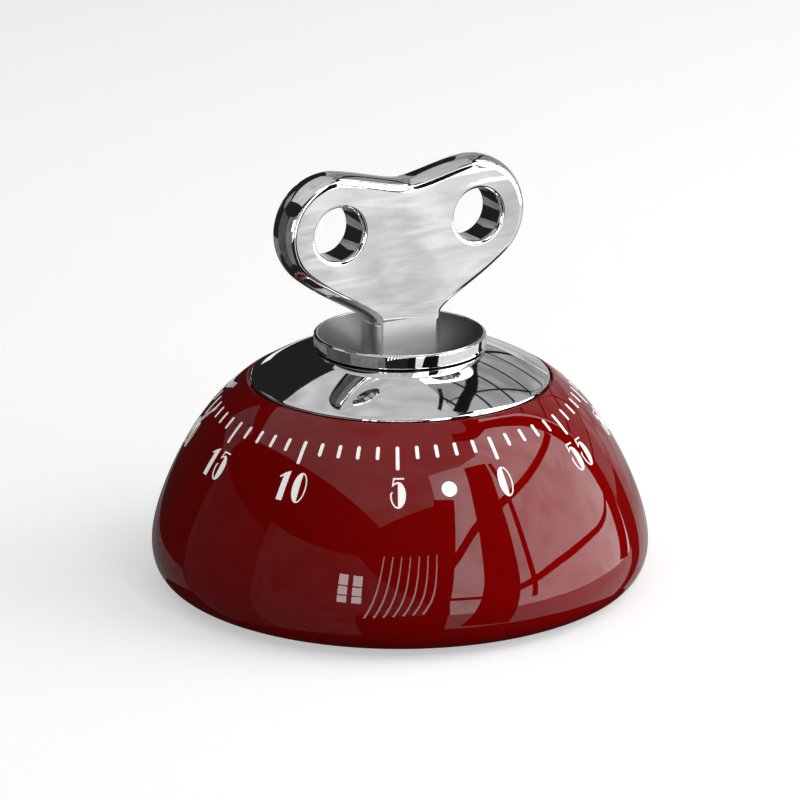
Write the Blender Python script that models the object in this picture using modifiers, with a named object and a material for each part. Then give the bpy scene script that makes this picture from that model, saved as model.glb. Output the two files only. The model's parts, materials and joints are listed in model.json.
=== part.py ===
"""A wind-up kitchen timer: lacquered dome, chrome cap, cup and key, and the clockwork inside.

Lengths below are millimetres and are scaled to metres as each piece is made. +Z is up, the feet
stand on z = 0, the main arbor is the Z axis and the 0 mark of the printed scale faces -Y.
"""

import bpy
import bmesh
from math import acos, asin, atan2, cos, degrees, hypot, pi, radians, sin, sqrt

MM = 0.001
FIT_GAP = 0.3           # clearance between pieces that touch or are pressed together
ROUND_STEPS = 40        # facets round the casing

# Dome and cap
DOME_RADIUS = 50.0
WIDEST_Z = 7.8          # height of the widest circle
DOME_WALL = 1.1
DOME_EDGE = (30.35, 41.35)
DOME_LIP = (45.6, 1.2)
LEDGE_DROP = 1.25       # the cap's edge lies in a step this deep
LEDGE_INNER = 27.6
CAP_EDGE = 29.98
CAP_SPHERE = 57.8
CAP_APEX_Z = 49.9
CAP_WALL = 0.9
CAP_HOLE = 16.15
CAP_SKIRT_OUTER = 27.2
CAP_SKIRT_INNER = 26.4
CAP_SKIRT_Z = 37.5

# Key and cup
KEY_THICKNESS = 7.9
KEY_ROLL = 2.2          # how far the key's rounded rim swells out beyond its flat faces
LOBE_CENTRE = (15.55, 73.1)
LOBE_RADIUS = 9.5       # of the flat face, as are the key's other outline sizes
LOBE_START = 100        # where the lobe's round edge starts and ends, in degrees
LOBE_END = -51
WAIST_REACH = 9.5       # how far the lobe's line runs on before the waist bends down
FINGER_HOLE = 5.3
FINGER_FLARE = 0.85
NOTCH_Z = 79.7
STEM_HALF = 5.85
STEM_TOP_Z = 53.9
STEM_CORNER = 1.2
STEM_Z = 44.2           # the rim's lowest point
CUP_RADIUS = 17.15
CUP_RIM_Z = 50.4
CUP_BAND_Z = 47.66
CUP_WALL = 0.85
CUP_FLOOR_Z = 43.4
KEY_PIN_Z = 46.2

# Base
BASE_RADIUS = 46.4
BASE_Z = (2.9, 4.1)
FOOT_RING = 38.0
FOOT_ANGLES = (30, 150, 270)
SOUND_SLOTS = 9

# Movement frame
PILLAR_RING = 30.5
PILLAR_ANGLES = (90, 210, 330)
LOWER_PLATE = (34.0, 18.0, 19.2)
UPPER_PLATE = (33.0, 31.5, 32.7)
PIVOT = 0.4
PIVOT_HOLE = 0.75
ARBOR = 0.85
MAIN_ARBOR = 2.5

# Bell and hammer
BELL_RADIUS = 26.5
BELL_Z = (6.0, 13.6)
BELL_WALL = 0.9
HAMMER_PIVOT = (22.0, 165.0)
HAMMER_HEAD_AT = (29.6, 190.0)

# Going train: teeth, module and the level of each wheel
MAIN_TEETH = 72
MAIN_MODULE = 0.5
TRAIN_MODULE = 0.4
LEAVES = 8
SECOND_TEETH = 60
THIRD_TEETH = 56
ESCAPE_TEETH = 16
ESCAPE_TIP = 5.5
ESCAPE_ROOT = 4.4
MAIN_WHEEL_Z = (28.0, 29.2)
SECOND_WHEEL_Z = (23.5, 24.5)
THIRD_WHEEL_Z = (20.4, 21.4)
ESCAPE_WHEEL_Z = (23.0, 23.8)
PALLET_Z = (24.2, 25.0)
BALANCE_Z = (20.6, 21.8)
SECOND_ANGLE = 35.0
ESCAPE_TO_PALLET = 7.0
PALLET_TO_BALANCE = 8.4
PALLET_PIN_AT = (3.1, 4.75)
IMPULSE_RADIUS = 1.4
BALANCE_RADIUS = 7.0

# Springs and stops
MAINSPRING_Z = (34.2, 38.2)
MAINSPRING_RADII = (3.1, 14.0)
MAINSPRING_TURNS = 4
MAINSPRING_STUD = (15.3, 250.0)
HAIRSPRING_Z = (26.4, 27.1)
HAIRSPRING_RADII = (1.5, 5.2)
HAIRSPRING_TURNS = 3
STOP_ARM_Z = (39.2, 40.4)
STOP_RING = 16.5
STOP_PIN = 0.75
STOP_PIN_ANGLE = 270.0
STOP_HALF_ANGLE = 6.0   # the arm stands this far to each side of the pin at the ends of its travel

# Ratchet and click, above the main wheel
RATCHET_TEETH = 18
RATCHET_TIP = 7.0
RATCHET_ROOT = 6.0
RATCHET_Z = (29.6, 30.4)
CLICK_PIVOT = (11.0, 234.0)
CLICK_LENGTH = 4.9      # from the click's rivet to its nose
CLICK_NOSE_RADIUS = 6.6     # how far the nose stands from the main arbor at rest
CLICK_NOSE_PAST_TIP = 6.2   # and how far past a tooth's tip, in degrees
CLICK_SPRING_FOOT = (16.3, 216.0)

PARTS = "kitchen_timer"
CUTTERS = "cutters"


# ---------------------------------------------------------------- scene and materials

def start_scene():
    """Empty the scene and make one collection for the parts and one for the cutters."""
    for obj in list(bpy.data.objects):
        bpy.data.objects.remove(obj, do_unlink=True)
    for name in (PARTS, CUTTERS):
        bpy.context.scene.collection.children.link(bpy.data.collections.new(name))


def material(name, colour, metallic, roughness):
    """Make a Principled material."""
    mat = bpy.data.materials.new(name)
    mat.use_nodes = True
    shader = mat.node_tree.nodes["Principled BSDF"]
    shader.inputs["Base Color"].default_value = (*colour, 1.0)
    shader.inputs["Metallic"].default_value = metallic
    shader.inputs["Roughness"].default_value = roughness
    return mat


def make_materials():
    """The finishes, by name."""
    return {
        "red_lacquer": material("red_lacquer", (0.145, 0.002, 0.003), 0.0, 0.08),
        "chrome": material("chrome", (0.86, 0.87, 0.88), 1.0, 0.05),
        "brass": material("brass", (0.78, 0.57, 0.26), 1.0, 0.28),
        "steel": material("steel", (0.56, 0.57, 0.58), 1.0, 0.3),
        "spring_steel": material("spring_steel", (0.16, 0.19, 0.27), 1.0, 0.3),
        "bell_steel": material("bell_steel", (0.66, 0.67, 0.69), 1.0, 0.2),
        "black_enamel": material("black_enamel", (0.02, 0.02, 0.022), 0.0, 0.4),
        "rubber": material("rubber", (0.015, 0.015, 0.015), 0.0, 0.8),
    }


# ---------------------------------------------------------------- outlines

def polar(radius, angle):
    """The point at a radius and an angle in degrees from +X."""
    return (radius * cos(radians(angle)), radius * sin(radians(angle)))


def arc(centre, radius, start, end, steps):
    """Points along a circle from one angle to another, in degrees, both ends included."""
    points = []
    for i in range(steps + 1):
        x, y = polar(radius, start + (end - start) * i / steps)
        points.append((centre[0] + x, centre[1] + y))
    return points


def circle(centre, radius, steps):
    """A closed circle."""
    return arc(centre, radius, 0, 360, steps)[:-1]


def bezier(start, handle_a, handle_b, end, steps):
    """Points along a cubic curve, both ends included."""
    points = []
    for i in range(steps + 1):
        t = i / steps
        weights = ((1 - t) ** 3, 3 * t * (1 - t) ** 2, 3 * t * t * (1 - t), t ** 3)
        corners = (start, handle_a, handle_b, end)
        points.append(tuple(sum(w * c[k] for w, c in zip(weights, corners)) for k in (0, 1)))
    return points


def offset(points, distance):
    """A copy of an open line, moved to the left of its direction by a distance."""
    moved = []
    for i, (x, y) in enumerate(points):
        before = points[max(i - 1, 0)]
        after = points[min(i + 1, len(points) - 1)]
        dx = after[0] - before[0]
        dy = after[1] - before[1]
        length = hypot(dx, dy)
        moved.append((x - dy / length * distance, y + dx / length * distance))
    return moved


def strip(path, width):
    """The outline of a band of even width along a path."""
    return offset(path, width / 2) + offset(path, -width / 2)[::-1]


def spiral(centre, radii, turns, start, steps_per_turn):
    """Points along a flat spiral that opens from the first radius to the second."""
    count = turns * steps_per_turn
    points = []
    for i in range(count + 1):
        radius = radii[0] + (radii[1] - radii[0]) * i / count
        x, y = polar(radius, start + 360 * i / steps_per_turn)
        points.append((centre[0] + x, centre[1] + y))
    return points


def placed(points, centre, turn):
    """An outline turned by an angle in degrees and moved to a centre."""
    c = cos(radians(turn))
    s = sin(radians(turn))
    return [(centre[0] + x * c - y * s, centre[1] + x * s + y * c) for x, y in points]


def gear_outline(teeth, module):
    """Straight-sided teeth, thinned for backlash, with a tooth on the +X axis."""
    pitch = 360 / teeth
    tip = module * (teeth / 2 + 0.85)
    root = module * (teeth / 2 - 1.15)
    points = []
    for i in range(teeth):
        for radius, share in ((root, -0.27), (tip, -0.09), (tip, 0.09), (root, 0.27)):
            points.append(polar(radius, (i + share) * pitch))
    return points


def saw_outline(teeth, tip, root, gullet_end=None):
    """Pointed teeth that lean one way, as on an escape wheel, or on a ratchet, which has no gullet."""
    pitch = 360 / teeth
    gullet = ((root, gullet_end),) if gullet_end else ()
    points = []
    for i in range(teeth):
        for radius, share in ((tip, 0.0), (tip, 0.08), (root, 0.24)) + gullet:
            points.append(polar(radius, (i + share) * pitch))
    return points


def crossings(count, inner, outer, spoke):
    """The windows between a wheel's spokes."""
    windows = []
    for i in range(count):
        middle = 360 * (i + 0.5) / count
        half_out = 180 / count - degrees(asin(spoke / 2 / outer))
        half_in = 180 / count - degrees(asin(spoke / 2 / inner))
        edge = arc((0, 0), outer, middle - half_out, middle + half_out, 5)
        edge += arc((0, 0), inner, middle + half_in, middle - half_in, 2)
        windows.append(edge)
    return windows


# ---------------------------------------------------------------- solids

def register(obj, finish, collection=PARTS):
    """Put an object in its collection with its material."""
    bpy.data.collections[collection].objects.link(obj)
    obj.data.materials.append(finish)
    return obj


def place(obj, centre, turn=0.0):
    """Stand an object on its own axis at a centre, turned about it."""
    obj.location = (centre[0] * MM, centre[1] * MM, 0.0)
    obj.rotation_euler = (0.0, 0.0, radians(turn))
    return obj


def turned(name, profile, finish, segments, closed=False):
    """A profile of (radius, height) points, down its outer side, turned about the Z axis."""
    mesh = bpy.data.meshes.new(name)
    edges = [(i, i + 1) for i in range(len(profile) - 1)]
    if closed:
        edges.append((len(profile) - 1, 0))
    mesh.from_pydata([(r * MM, 0.0, z * MM) for r, z in profile], edges, [])
    obj = register(bpy.data.objects.new(name, mesh), finish)
    screw = obj.modifiers.new("Turn", "SCREW")
    screw.steps = segments
    screw.render_steps = segments
    screw.use_merge_vertices = True
    screw.merge_threshold = 0.00001
    return obj


def flat(name, loops, low, high, finish):
    """An outline and its holes, made solid between two heights."""
    curve = bpy.data.curves.new(name, "CURVE")
    curve.dimensions = "2D"
    curve.fill_mode = "BOTH"
    curve.extrude = (high - low) / 2 * MM
    for loop in loops:
        spline = curve.splines.new("POLY")
        spline.points.add(len(loop) - 1)
        for point, (x, y) in zip(spline.points, loop):
            point.co = (x * MM, y * MM, 0.0, 1.0)
        spline.use_cyclic_u = True
    draft = bpy.data.objects.new(name + "_outline", curve)
    bpy.context.scene.collection.objects.link(draft)
    draft.location.z = (low + high) / 2 * MM
    bpy.context.view_layer.update()
    shape = bpy.data.meshes.new_from_object(draft.evaluated_get(bpy.context.evaluated_depsgraph_get()))
    shape.transform(draft.matrix_world)
    bpy.data.objects.remove(draft, do_unlink=True)
    welded = bmesh.new()
    welded.from_mesh(shape)
    bmesh.ops.remove_doubles(welded, verts=welded.verts, dist=0.000001)
    welded.to_mesh(shape)
    welded.free()
    shape.name = name
    return register(bpy.data.objects.new(name, shape), finish)


def rolled(name, outline, half, roll, steps, finish):
    """A clockwise outline made into a plate whose rim swells out between its two flat faces."""
    body = bmesh.new()
    rings = []
    for i in range(-steps, steps + 1):
        angle = pi / 2 * i / steps
        ring = offset(outline[-1:] + outline + outline[:1], roll * cos(angle))[1:-1]
        height = half * sin(angle) * MM
        rings.append([body.verts.new((x * MM, y * MM, height)) for x, y in ring])
    for low, high in zip(rings, rings[1:]):
        for i, vert in enumerate(low):
            j = (i + 1) % len(low)
            body.faces.new((vert, low[j], high[j], high[i]))
    body.faces.new(rings[0])
    body.faces.new(rings[-1])
    bmesh.ops.recalc_face_normals(body, faces=body.faces)
    mesh = bpy.data.meshes.new(name)
    body.to_mesh(mesh)
    body.free()
    return register(bpy.data.objects.new(name, mesh), finish)


def rod(name, centre, radius, low, high, finish, sides=12):
    """A plain upright cylinder."""
    bpy.ops.mesh.primitive_cylinder_add(
        vertices=sides, radius=radius * MM, depth=(high - low) * MM,
        location=(centre[0] * MM, centre[1] * MM, (low + high) / 2 * MM),
    )
    return adopt(name, finish)


def block(name, size, centre, finish):
    """A box of a size about a centre."""
    bpy.ops.mesh.primitive_cube_add(size=1.0, location=[value * MM for value in centre])
    bpy.context.object.scale = [value * MM for value in size]
    bpy.ops.object.transform_apply(location=False, rotation=False, scale=True)
    return adopt(name, finish)


def adopt(name, finish):
    """Name the primitive just made and move it to the parts collection."""
    obj = bpy.context.object
    obj.name = name
    obj.data.name = name
    for collection in list(obj.users_collection):
        collection.objects.unlink(obj)
    return register(obj, finish)


def combine(target, tool, operation):
    """Join or cut a part with a tool, which moves to the cutters collection."""
    bpy.data.collections[PARTS].objects.unlink(tool)
    bpy.data.collections[CUTTERS].objects.link(tool)
    tool.hide_render = True
    tool.display_type = "WIRE"
    boolean = target.modifiers.new(operation.title(), "BOOLEAN")
    boolean.operation = operation
    boolean.solver = "EXACT"
    boolean.object = tool


# ---------------------------------------------------------------- casing

def dome_curve(upper_steps, middle_steps, lower_steps):
    """The dome's outer line from the cap's edge, past the widest circle, to the rolled-in lip."""
    shoulder = (46.4, 20.2)
    widest = (DOME_RADIUS, WIDEST_Z)
    line = bezier(DOME_EDGE, (38.4, 36.2), (42.65, 29.0), shoulder, upper_steps)
    line += bezier(shoulder, (48.1, 16.2), (DOME_RADIUS, 12.1), widest, middle_steps)[1:]
    line += bezier(widest, (DOME_RADIUS, 4.0), (48.4, 1.3), DOME_LIP, lower_steps)[1:]
    return line


def make_dome(finish):
    """A thin shell with a step at the top for the cap and a lip rolled in under the base plate."""
    outer = dome_curve(7, 2, 5)
    inner = offset(dome_curve(5, 2, 4), -DOME_WALL)[::-1]
    ledge_z = DOME_EDGE[1] - LEDGE_DROP
    step = [
        (LEDGE_INNER, ledge_z - DOME_WALL),
        (LEDGE_INNER, ledge_z),
        (DOME_EDGE[0], ledge_z),
    ]
    inner[-1] = (DOME_EDGE[0] + 1.0, ledge_z - DOME_WALL)
    turned("dome_shell", outer + inner + step, finish, ROUND_STEPS, closed=True)


def cap_height(radius, sphere=CAP_SPHERE):
    """Height of the cap's surface, or of a sphere about the same centre, at a radius."""
    return CAP_APEX_Z - CAP_SPHERE + sqrt(sphere ** 2 - radius ** 2)


def make_cap(finish):
    """The convex chrome cap, with a rounded edge and a skirt that drops through the dome's top."""
    inside = CAP_SPHERE - CAP_WALL
    radii = [CAP_HOLE + (CAP_EDGE - 0.5 - CAP_HOLE) * i / 4 for i in range(5)]
    top = [(r, cap_height(r)) for r in radii]
    edge_z = cap_height(CAP_EDGE) - 0.3
    rolled = [(CAP_EDGE, edge_z), (CAP_EDGE - 0.3, edge_z - 0.4)]
    under = [
        (CAP_SKIRT_OUTER, cap_height(CAP_SKIRT_OUTER, inside)),
        (CAP_SKIRT_OUTER, CAP_SKIRT_Z),
        (CAP_SKIRT_INNER, CAP_SKIRT_Z),
    ]
    under += [(r, cap_height(r, inside)) for r in (CAP_SKIRT_INNER, 21.5, CAP_HOLE)]
    turned("top_cap", top + rolled + under, finish, ROUND_STEPS, closed=True)


def make_clip_ring(finish):
    """The spring ring round the cap's skirt that holds the cap down on the dome."""
    top = DOME_EDGE[1] - LEDGE_DROP - DOME_WALL - FIT_GAP
    inner = CAP_SKIRT_OUTER + FIT_GAP
    loops = [circle((0, 0), inner + 1.8, 28), circle((0, 0), inner, 28)]
    flat("cap_clip_ring", loops, top - 0.9, top, finish)


def make_base(finish):
    """The base plate, with sound slots under the bell and holes for feet, screws and bell post."""
    loops = [circle((0, 0), BASE_RADIUS, ROUND_STEPS), circle((0, 0), 2.1, 10)]
    for angle in FOOT_ANGLES:
        loops.append(circle(polar(FOOT_RING, angle), 2.1, 10))
    for angle in PILLAR_ANGLES:
        loops.append(circle(polar(PILLAR_RING, angle), 1.5, 8))
    for i in range(SOUND_SLOTS):
        slot = arc((22.0, 0), 1.1, -90, 90, 3) + arc((12.0, 0), 1.1, 90, 270, 3)
        loops.append(placed(slot, (0, 0), 360 * (i + 0.5) / SOUND_SLOTS))
    flat("base_plate", loops, *BASE_Z, finish)


def make_feet(finish):
    """Three push-in rubber feet: a pad below the plate, a neck through it and a barb above."""
    pad_top = BASE_Z[0] - FIT_GAP
    profile = [
        (0.0, BASE_Z[1] + 2.2), (1.2, BASE_Z[1] + 2.2), (2.9, BASE_Z[1] + FIT_GAP + 0.5),
        (2.9, BASE_Z[1] + FIT_GAP), (1.8, BASE_Z[1] + FIT_GAP), (1.8, pad_top),
        (5.0, pad_top), (5.0, 0.5), (4.5, 0.0), (0.0, 0.0),
    ]
    for i, angle in enumerate(FOOT_ANGLES, 1):
        place(turned(f"foot_{i}", profile, finish, 16), polar(FOOT_RING, angle), angle)


def make_screw(name, centre, head, shank, finish, turn=0.0):
    """A slotted screw. head and shank are (radius, near, far) heights, the head's far end outside."""
    outside = 1 if head[2] > head[1] else -1
    rim = head[2] - outside * 0.4
    profile = [(0.0, head[2]), (head[0] - 0.5, head[2]), (head[0], rim), (head[0], head[1])]
    profile += [(shank[0], head[1]), (shank[0], shank[2]), (0.0, shank[2])]
    if outside < 0:
        profile.reverse()
    screw = place(turned(name, profile, finish, 12), centre, turn)
    slot = block(name + "_slot", (head[0] * 2.4, 0.6, 1.2), (0, 0, head[2]), finish)
    combine(screw, place(slot, centre, turn), "DIFFERENCE")
    slot.location.z = head[2] * MM
    return screw


# ---------------------------------------------------------------- key

def key_outline():
    """The key's face: two lobes, a shallow notch between them and a waist down to the stem."""
    lobe = arc(LOBE_CENTRE, LOBE_RADIUS, LOBE_START, LOBE_END, 13)
    top = bezier((0.0, NOTCH_Z), (3.2, NOTCH_Z), (9.4, 81.8), lobe[0], 5)
    inward = polar(WAIST_REACH, LOBE_END - 90)
    leave = (lobe[-1][0] + inward[0], lobe[-1][1] + inward[1])
    waist = bezier(lobe[-1], leave, (STEM_HALF, STEM_TOP_Z + 3.5), (STEM_HALF, STEM_TOP_Z), 7)
    corner = (STEM_HALF - STEM_CORNER, STEM_Z + KEY_ROLL + STEM_CORNER)
    right = top + lobe[1:] + waist[1:] + arc(corner, STEM_CORNER, 0, -90, 3)
    left = [(-x, z) for x, z in right[1:]]
    return right + left[::-1]


def make_key(finish):
    """The cast key: rounded all round, bored for two fingers, the arbor and the cross pin."""
    key = rolled("key", key_outline(), KEY_THICKNESS / 2, KEY_ROLL, 3, finish)
    key.rotation_euler.x = pi / 2
    depth = KEY_THICKNESS / 2
    wide = FINGER_HOLE + FINGER_FLARE
    bore = [(0, depth + 1), (wide + 1, depth + 1), (FINGER_HOLE, depth - FINGER_FLARE)]
    bore += [(r, -z) for r, z in bore[::-1]]
    for side in (-1, 1):
        hole = turned("finger_hole", bore, finish, 20)
        hole.rotation_euler.x = pi / 2
        hole.location = (side * LOBE_CENTRE[0] * MM, 0.0, LOBE_CENTRE[1] * MM)
        combine(key, hole, "DIFFERENCE")
    socket = rod("key_socket", (0, 0), MAIN_ARBOR + FIT_GAP, STEM_Z - 2, 57.6, finish, 16)
    combine(key, socket, "DIFFERENCE")
    combine(key, cross_hole("key_pin_hole", 20, finish), "DIFFERENCE")


def cross_hole(name, length, finish):
    """A cutter for the hole that the key's cross pin goes through."""
    hole = rod(name, (0, 0), 0.8 + FIT_GAP, -length / 2, length / 2, finish, 10)
    hole.location.z = KEY_PIN_Z * MM
    hole.rotation_euler.y = pi / 2
    return hole


def make_key_pin(finish):
    """The pin through the key's stem and the arbor."""
    reach = STEM_HALF + KEY_ROLL - 0.45
    pin = rod("key_pin", (0, 0), 0.8, -reach, reach, finish, 12)
    pin.location.z = KEY_PIN_Z * MM
    pin.rotation_euler.y = pi / 2


def make_cup(finish):
    """The dish round the key's stem: an upright band outside and a bowl down to the hub."""
    hub = MAIN_ARBOR + FIT_GAP
    inside = bezier((CUP_RADIUS - 0.8, CUP_RIM_Z - 0.1), (14.2, 46.9), (10.5, 43.6), (6.2, CUP_FLOOR_Z), 5)
    below = offset(inside, CUP_WALL)[1:]
    rim = [(CUP_RADIUS - 0.4, CUP_RIM_Z + 0.02), (CUP_RADIUS - 0.1, CUP_RIM_Z - 0.1)]
    band = [(CUP_RADIUS, CUP_RIM_Z - 0.4), (CUP_RADIUS, CUP_BAND_Z), (16.2, CUP_BAND_Z + 0.32)]
    floor = [(hub, CUP_FLOOR_Z - 0.95), (hub, CUP_FLOOR_Z)]
    turned("key_cup", rim + band + below + floor + inside[::-1], finish, 32, closed=True)


def make_main_arbor(finish):
    """The shaft that carries the key, the stop arm, the ratchet, the main wheel and the cam."""
    profile = [
        (0.0, 57.0), (MAIN_ARBOR - 0.4, 57.0), (MAIN_ARBOR, 56.6), (MAIN_ARBOR, 42.1),
        (4.6, 42.1), (4.6, 41.2), (MAIN_ARBOR, 41.2), (MAIN_ARBOR, 19.5), (1.5, 19.5),
        (1.5, 17.4), (0.0, 17.4),
    ]
    arbor = turned("main_arbor", profile, finish, 12)
    combine(arbor, cross_hole("arbor_pin_hole", 12, finish), "DIFFERENCE")


# ---------------------------------------------------------------- movement frame

def chord_angle(distance):
    """Angle at the centre between two arbors on the train's ring that stand a distance apart."""
    return 2 * degrees(asin(distance / 2 / train_ring()))


def train_ring():
    """Radius of the circle that the second, third, escape and pallet arbors stand on."""
    return MAIN_MODULE * (MAIN_TEETH + LEAVES) / 2


def train_places():
    """Where each vertical arbor stands."""
    ring = train_ring()
    third = SECOND_ANGLE - chord_angle(TRAIN_MODULE * (SECOND_TEETH + LEAVES) / 2)
    escape = third - chord_angle(TRAIN_MODULE * (THIRD_TEETH + LEAVES) / 2)
    pallet = escape - chord_angle(ESCAPE_TO_PALLET)
    places = {
        "second": polar(ring, SECOND_ANGLE),
        "third": polar(ring, third),
        "escape": polar(ring, escape),
        "pallet": polar(ring, pallet),
        "hammer": polar(*HAMMER_PIVOT),
    }
    share = PALLET_TO_BALANCE / ESCAPE_TO_PALLET
    (ex, ey), (px, py) = places["escape"], places["pallet"]
    places["balance"] = (px + (px - ex) * share, py + (py - ey) * share)
    return places


def heading(start, end):
    """Direction from one point to another, in degrees."""
    return degrees(atan2(end[1] - start[1], end[0] - start[0]))


def make_plates(places, finish):
    """The two movement plates, drilled for every pivot and pillar."""
    shared = [circle(polar(PILLAR_RING, angle), 1.5, 8) for angle in PILLAR_ANGLES]
    shared += [circle(centre, PIVOT_HOLE, 6) for centre in places.values()]
    lower = [circle((0, 0), LOWER_PLATE[0], 32), circle((0, 0), 1.9, 10)] + shared
    lower.append(circle(polar(*HAMMER_HEAD_AT), 3.2, 12))
    flat("movement_lower_plate", lower, *LOWER_PLATE[1:], finish)
    upper = [circle((0, 0), UPPER_PLATE[0], 32), circle((0, 0), MAIN_ARBOR + 0.4, 12)] + shared
    for centre, radius in ((polar(*MAINSPRING_STUD), 1.1), (polar(STOP_RING, STOP_PIN_ANGLE), 1.1)):
        upper.append(circle(centre, radius, 8))
    upper.append(circle(hairspring_stud_place(places), 1.0, 8))
    flat("movement_upper_plate", upper, *UPPER_PLATE[1:], finish)


def make_frame_posts(finishes):
    """Per corner: a pillar between the plates, a leg below them and the screws at both ends."""
    leg_low = BASE_Z[1] + FIT_GAP
    leg_high = LOWER_PLATE[1] - FIT_GAP
    pillar_low = LOWER_PLATE[2] + FIT_GAP
    pillar_high = UPPER_PLATE[1] - FIT_GAP
    leg = [(2.5, leg_high), (2.5, leg_low), (1.5, leg_low), (1.5, leg_high)]
    pillar = [
        (0.0, 24.0), (1.5, 24.0), (1.5, pillar_high), (2.25, pillar_high), (2.25, pillar_low),
        (1.1, pillar_low), (1.1, 12.5), (0.0, 12.5),
    ]
    for i, angle in enumerate(PILLAR_ANGLES, 1):
        centre = polar(PILLAR_RING, angle)
        place(turned(f"movement_leg_{i}", leg, finishes["steel"], 12, closed=True), centre)
        place(turned(f"pillar_{i}", pillar, finishes["brass"], 12), centre)
        top = UPPER_PLATE[2] + FIT_GAP
        make_screw(f"pillar_screw_{i}", centre, (2.3, top, top + 1.3), (1.1, top, 25.0),
                   finishes["steel"], angle)
        low = BASE_Z[0] - FIT_GAP
        make_screw(f"base_screw_{i}", centre, (2.8, low, low - 1.4), (1.1, low, 10.5),
                   finishes["steel"], angle + 25)


# ---------------------------------------------------------------- bell and hammer

def make_bell(finishes):
    """The bell, its riveted post and its screw."""
    rim, top = BELL_Z
    outer = [(1.9, top), (17.0, top)]
    outer += bezier((17.0, top), (22.5, top), (26.2, 11.5), (BELL_RADIUS, rim), 5)[1:]
    inner = offset(outer, -BELL_WALL)[::-1]
    turned("bell", outer + inner, finishes["bell_steel"], 28, closed=True)
    plate_low = BASE_Z[0] - FIT_GAP
    plate_high = BASE_Z[1] + FIT_GAP
    seat = top - BELL_WALL - FIT_GAP
    post = [
        (0.0, 7.0), (1.5, 7.0), (1.5, seat), (3.5, seat), (3.5, plate_high), (1.7, plate_high),
        (1.7, plate_low), (3.2, plate_low), (2.8, plate_low - 0.8), (0.0, plate_low - 0.8),
    ]
    turned("bell_post", post, finishes["steel"], 12)
    head = top + FIT_GAP
    make_screw("bell_screw", (0, 0), (3.2, head, head + 1.5), (1.15, head, 7.6), finishes["steel"])


def make_hammer(places, finishes):
    """The hammer's arbor, the lever from the cam to the rod, the rod and the head."""
    pivot = places["hammer"]
    tail = polar(*HAMMER_HEAD_AT)
    length = hypot(tail[0] - pivot[0], tail[1] - pivot[1])
    to_tail = heading(pivot, tail)
    to_cam = heading(pivot, (0, 0))
    nose = HAMMER_PIVOT[0] - 6.0
    bend = (to_tail - to_cam) % 360
    outline = [(nose - 1.5, -0.8), (nose, 0.0), (nose - 1.5, 0.8)]
    outline += arc((0, 0), 2.3, 28, bend - 38, 7)
    outline += placed(arc((length, 0), 2.0, -90, 90, 6), (0, 0), bend)
    outline += arc((0, 0), 2.3, bend + 38, 332, 2)
    loops = [outline, circle((0, 0), ARBOR + FIT_GAP, 8)]
    loops.append(placed(circle((length, 0), 0.9 + FIT_GAP, 8), (0, 0), bend))
    low, high = cam_levels()
    place(flat("hammer_lever", loops, low, high, finishes["brass"]), pivot, to_cam)
    make_arbor("hammer_arbor", pivot, finishes["steel"])
    rod("hammer_rod", tail, 0.9, 7.4, high + 0.4, finishes["steel"], 10)
    head = [(1.2, 11.4), (1.8, 11.4), (2.2, 11.0), (2.2, 7.0), (1.8, 6.6), (1.2, 6.6)]
    place(turned("hammer_head", head, finishes["brass"], 12, closed=True), tail)


def make_hammer_spring(finish):
    """A flat spring clipped round a pillar that presses the hammer's tail towards the bell."""
    pillar = polar(PILLAR_RING, PILLAR_ANGLES[1])
    tail = polar(HAMMER_HEAD_AT[0] + 4.2, HAMMER_HEAD_AT[1] - 3)
    loop = arc(pillar, 3.0, 20, -170, 12)
    flat("hammer_spring", [strip(loop + [tail], 0.5)], 25.8, 26.4, finish)


# ---------------------------------------------------------------- going train

def cam_levels():
    """Heights of the trip cam and of the lever that rides beside it."""
    return (25.6, 26.6)


def make_arbor(name, centre, finish, leaves=None):
    """A pivoted arbor, with pinion leaves between two heights where it has any."""
    low = LOWER_PLATE[2] + FIT_GAP
    high = UPPER_PLATE[1] - FIT_GAP
    profile = [
        (0.0, high + 1.3), (PIVOT, high + 1.3), (PIVOT, high), (ARBOR, high), (ARBOR, low),
        (PIVOT, low), (PIVOT, low - 1.3), (0.0, low - 1.3),
    ]
    arbor = place(turned(name, profile, finish, 8), centre)
    if leaves:
        module, bottom, top, phase = leaves
        pinion = flat(name + "_leaves", [gear_outline(LEAVES, module)], bottom, top, finish)
        combine(arbor, place(pinion, centre, phase), "UNION")
    return arbor


def wheel(name, outline, centre, levels, phase, bore, windows, finish):
    """A flat wheel with a bore and crossings, turned to its phase."""
    loops = [outline, circle((0, 0), bore, 8)] + windows
    return place(flat(name, loops, *levels, finish), centre, phase)


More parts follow.
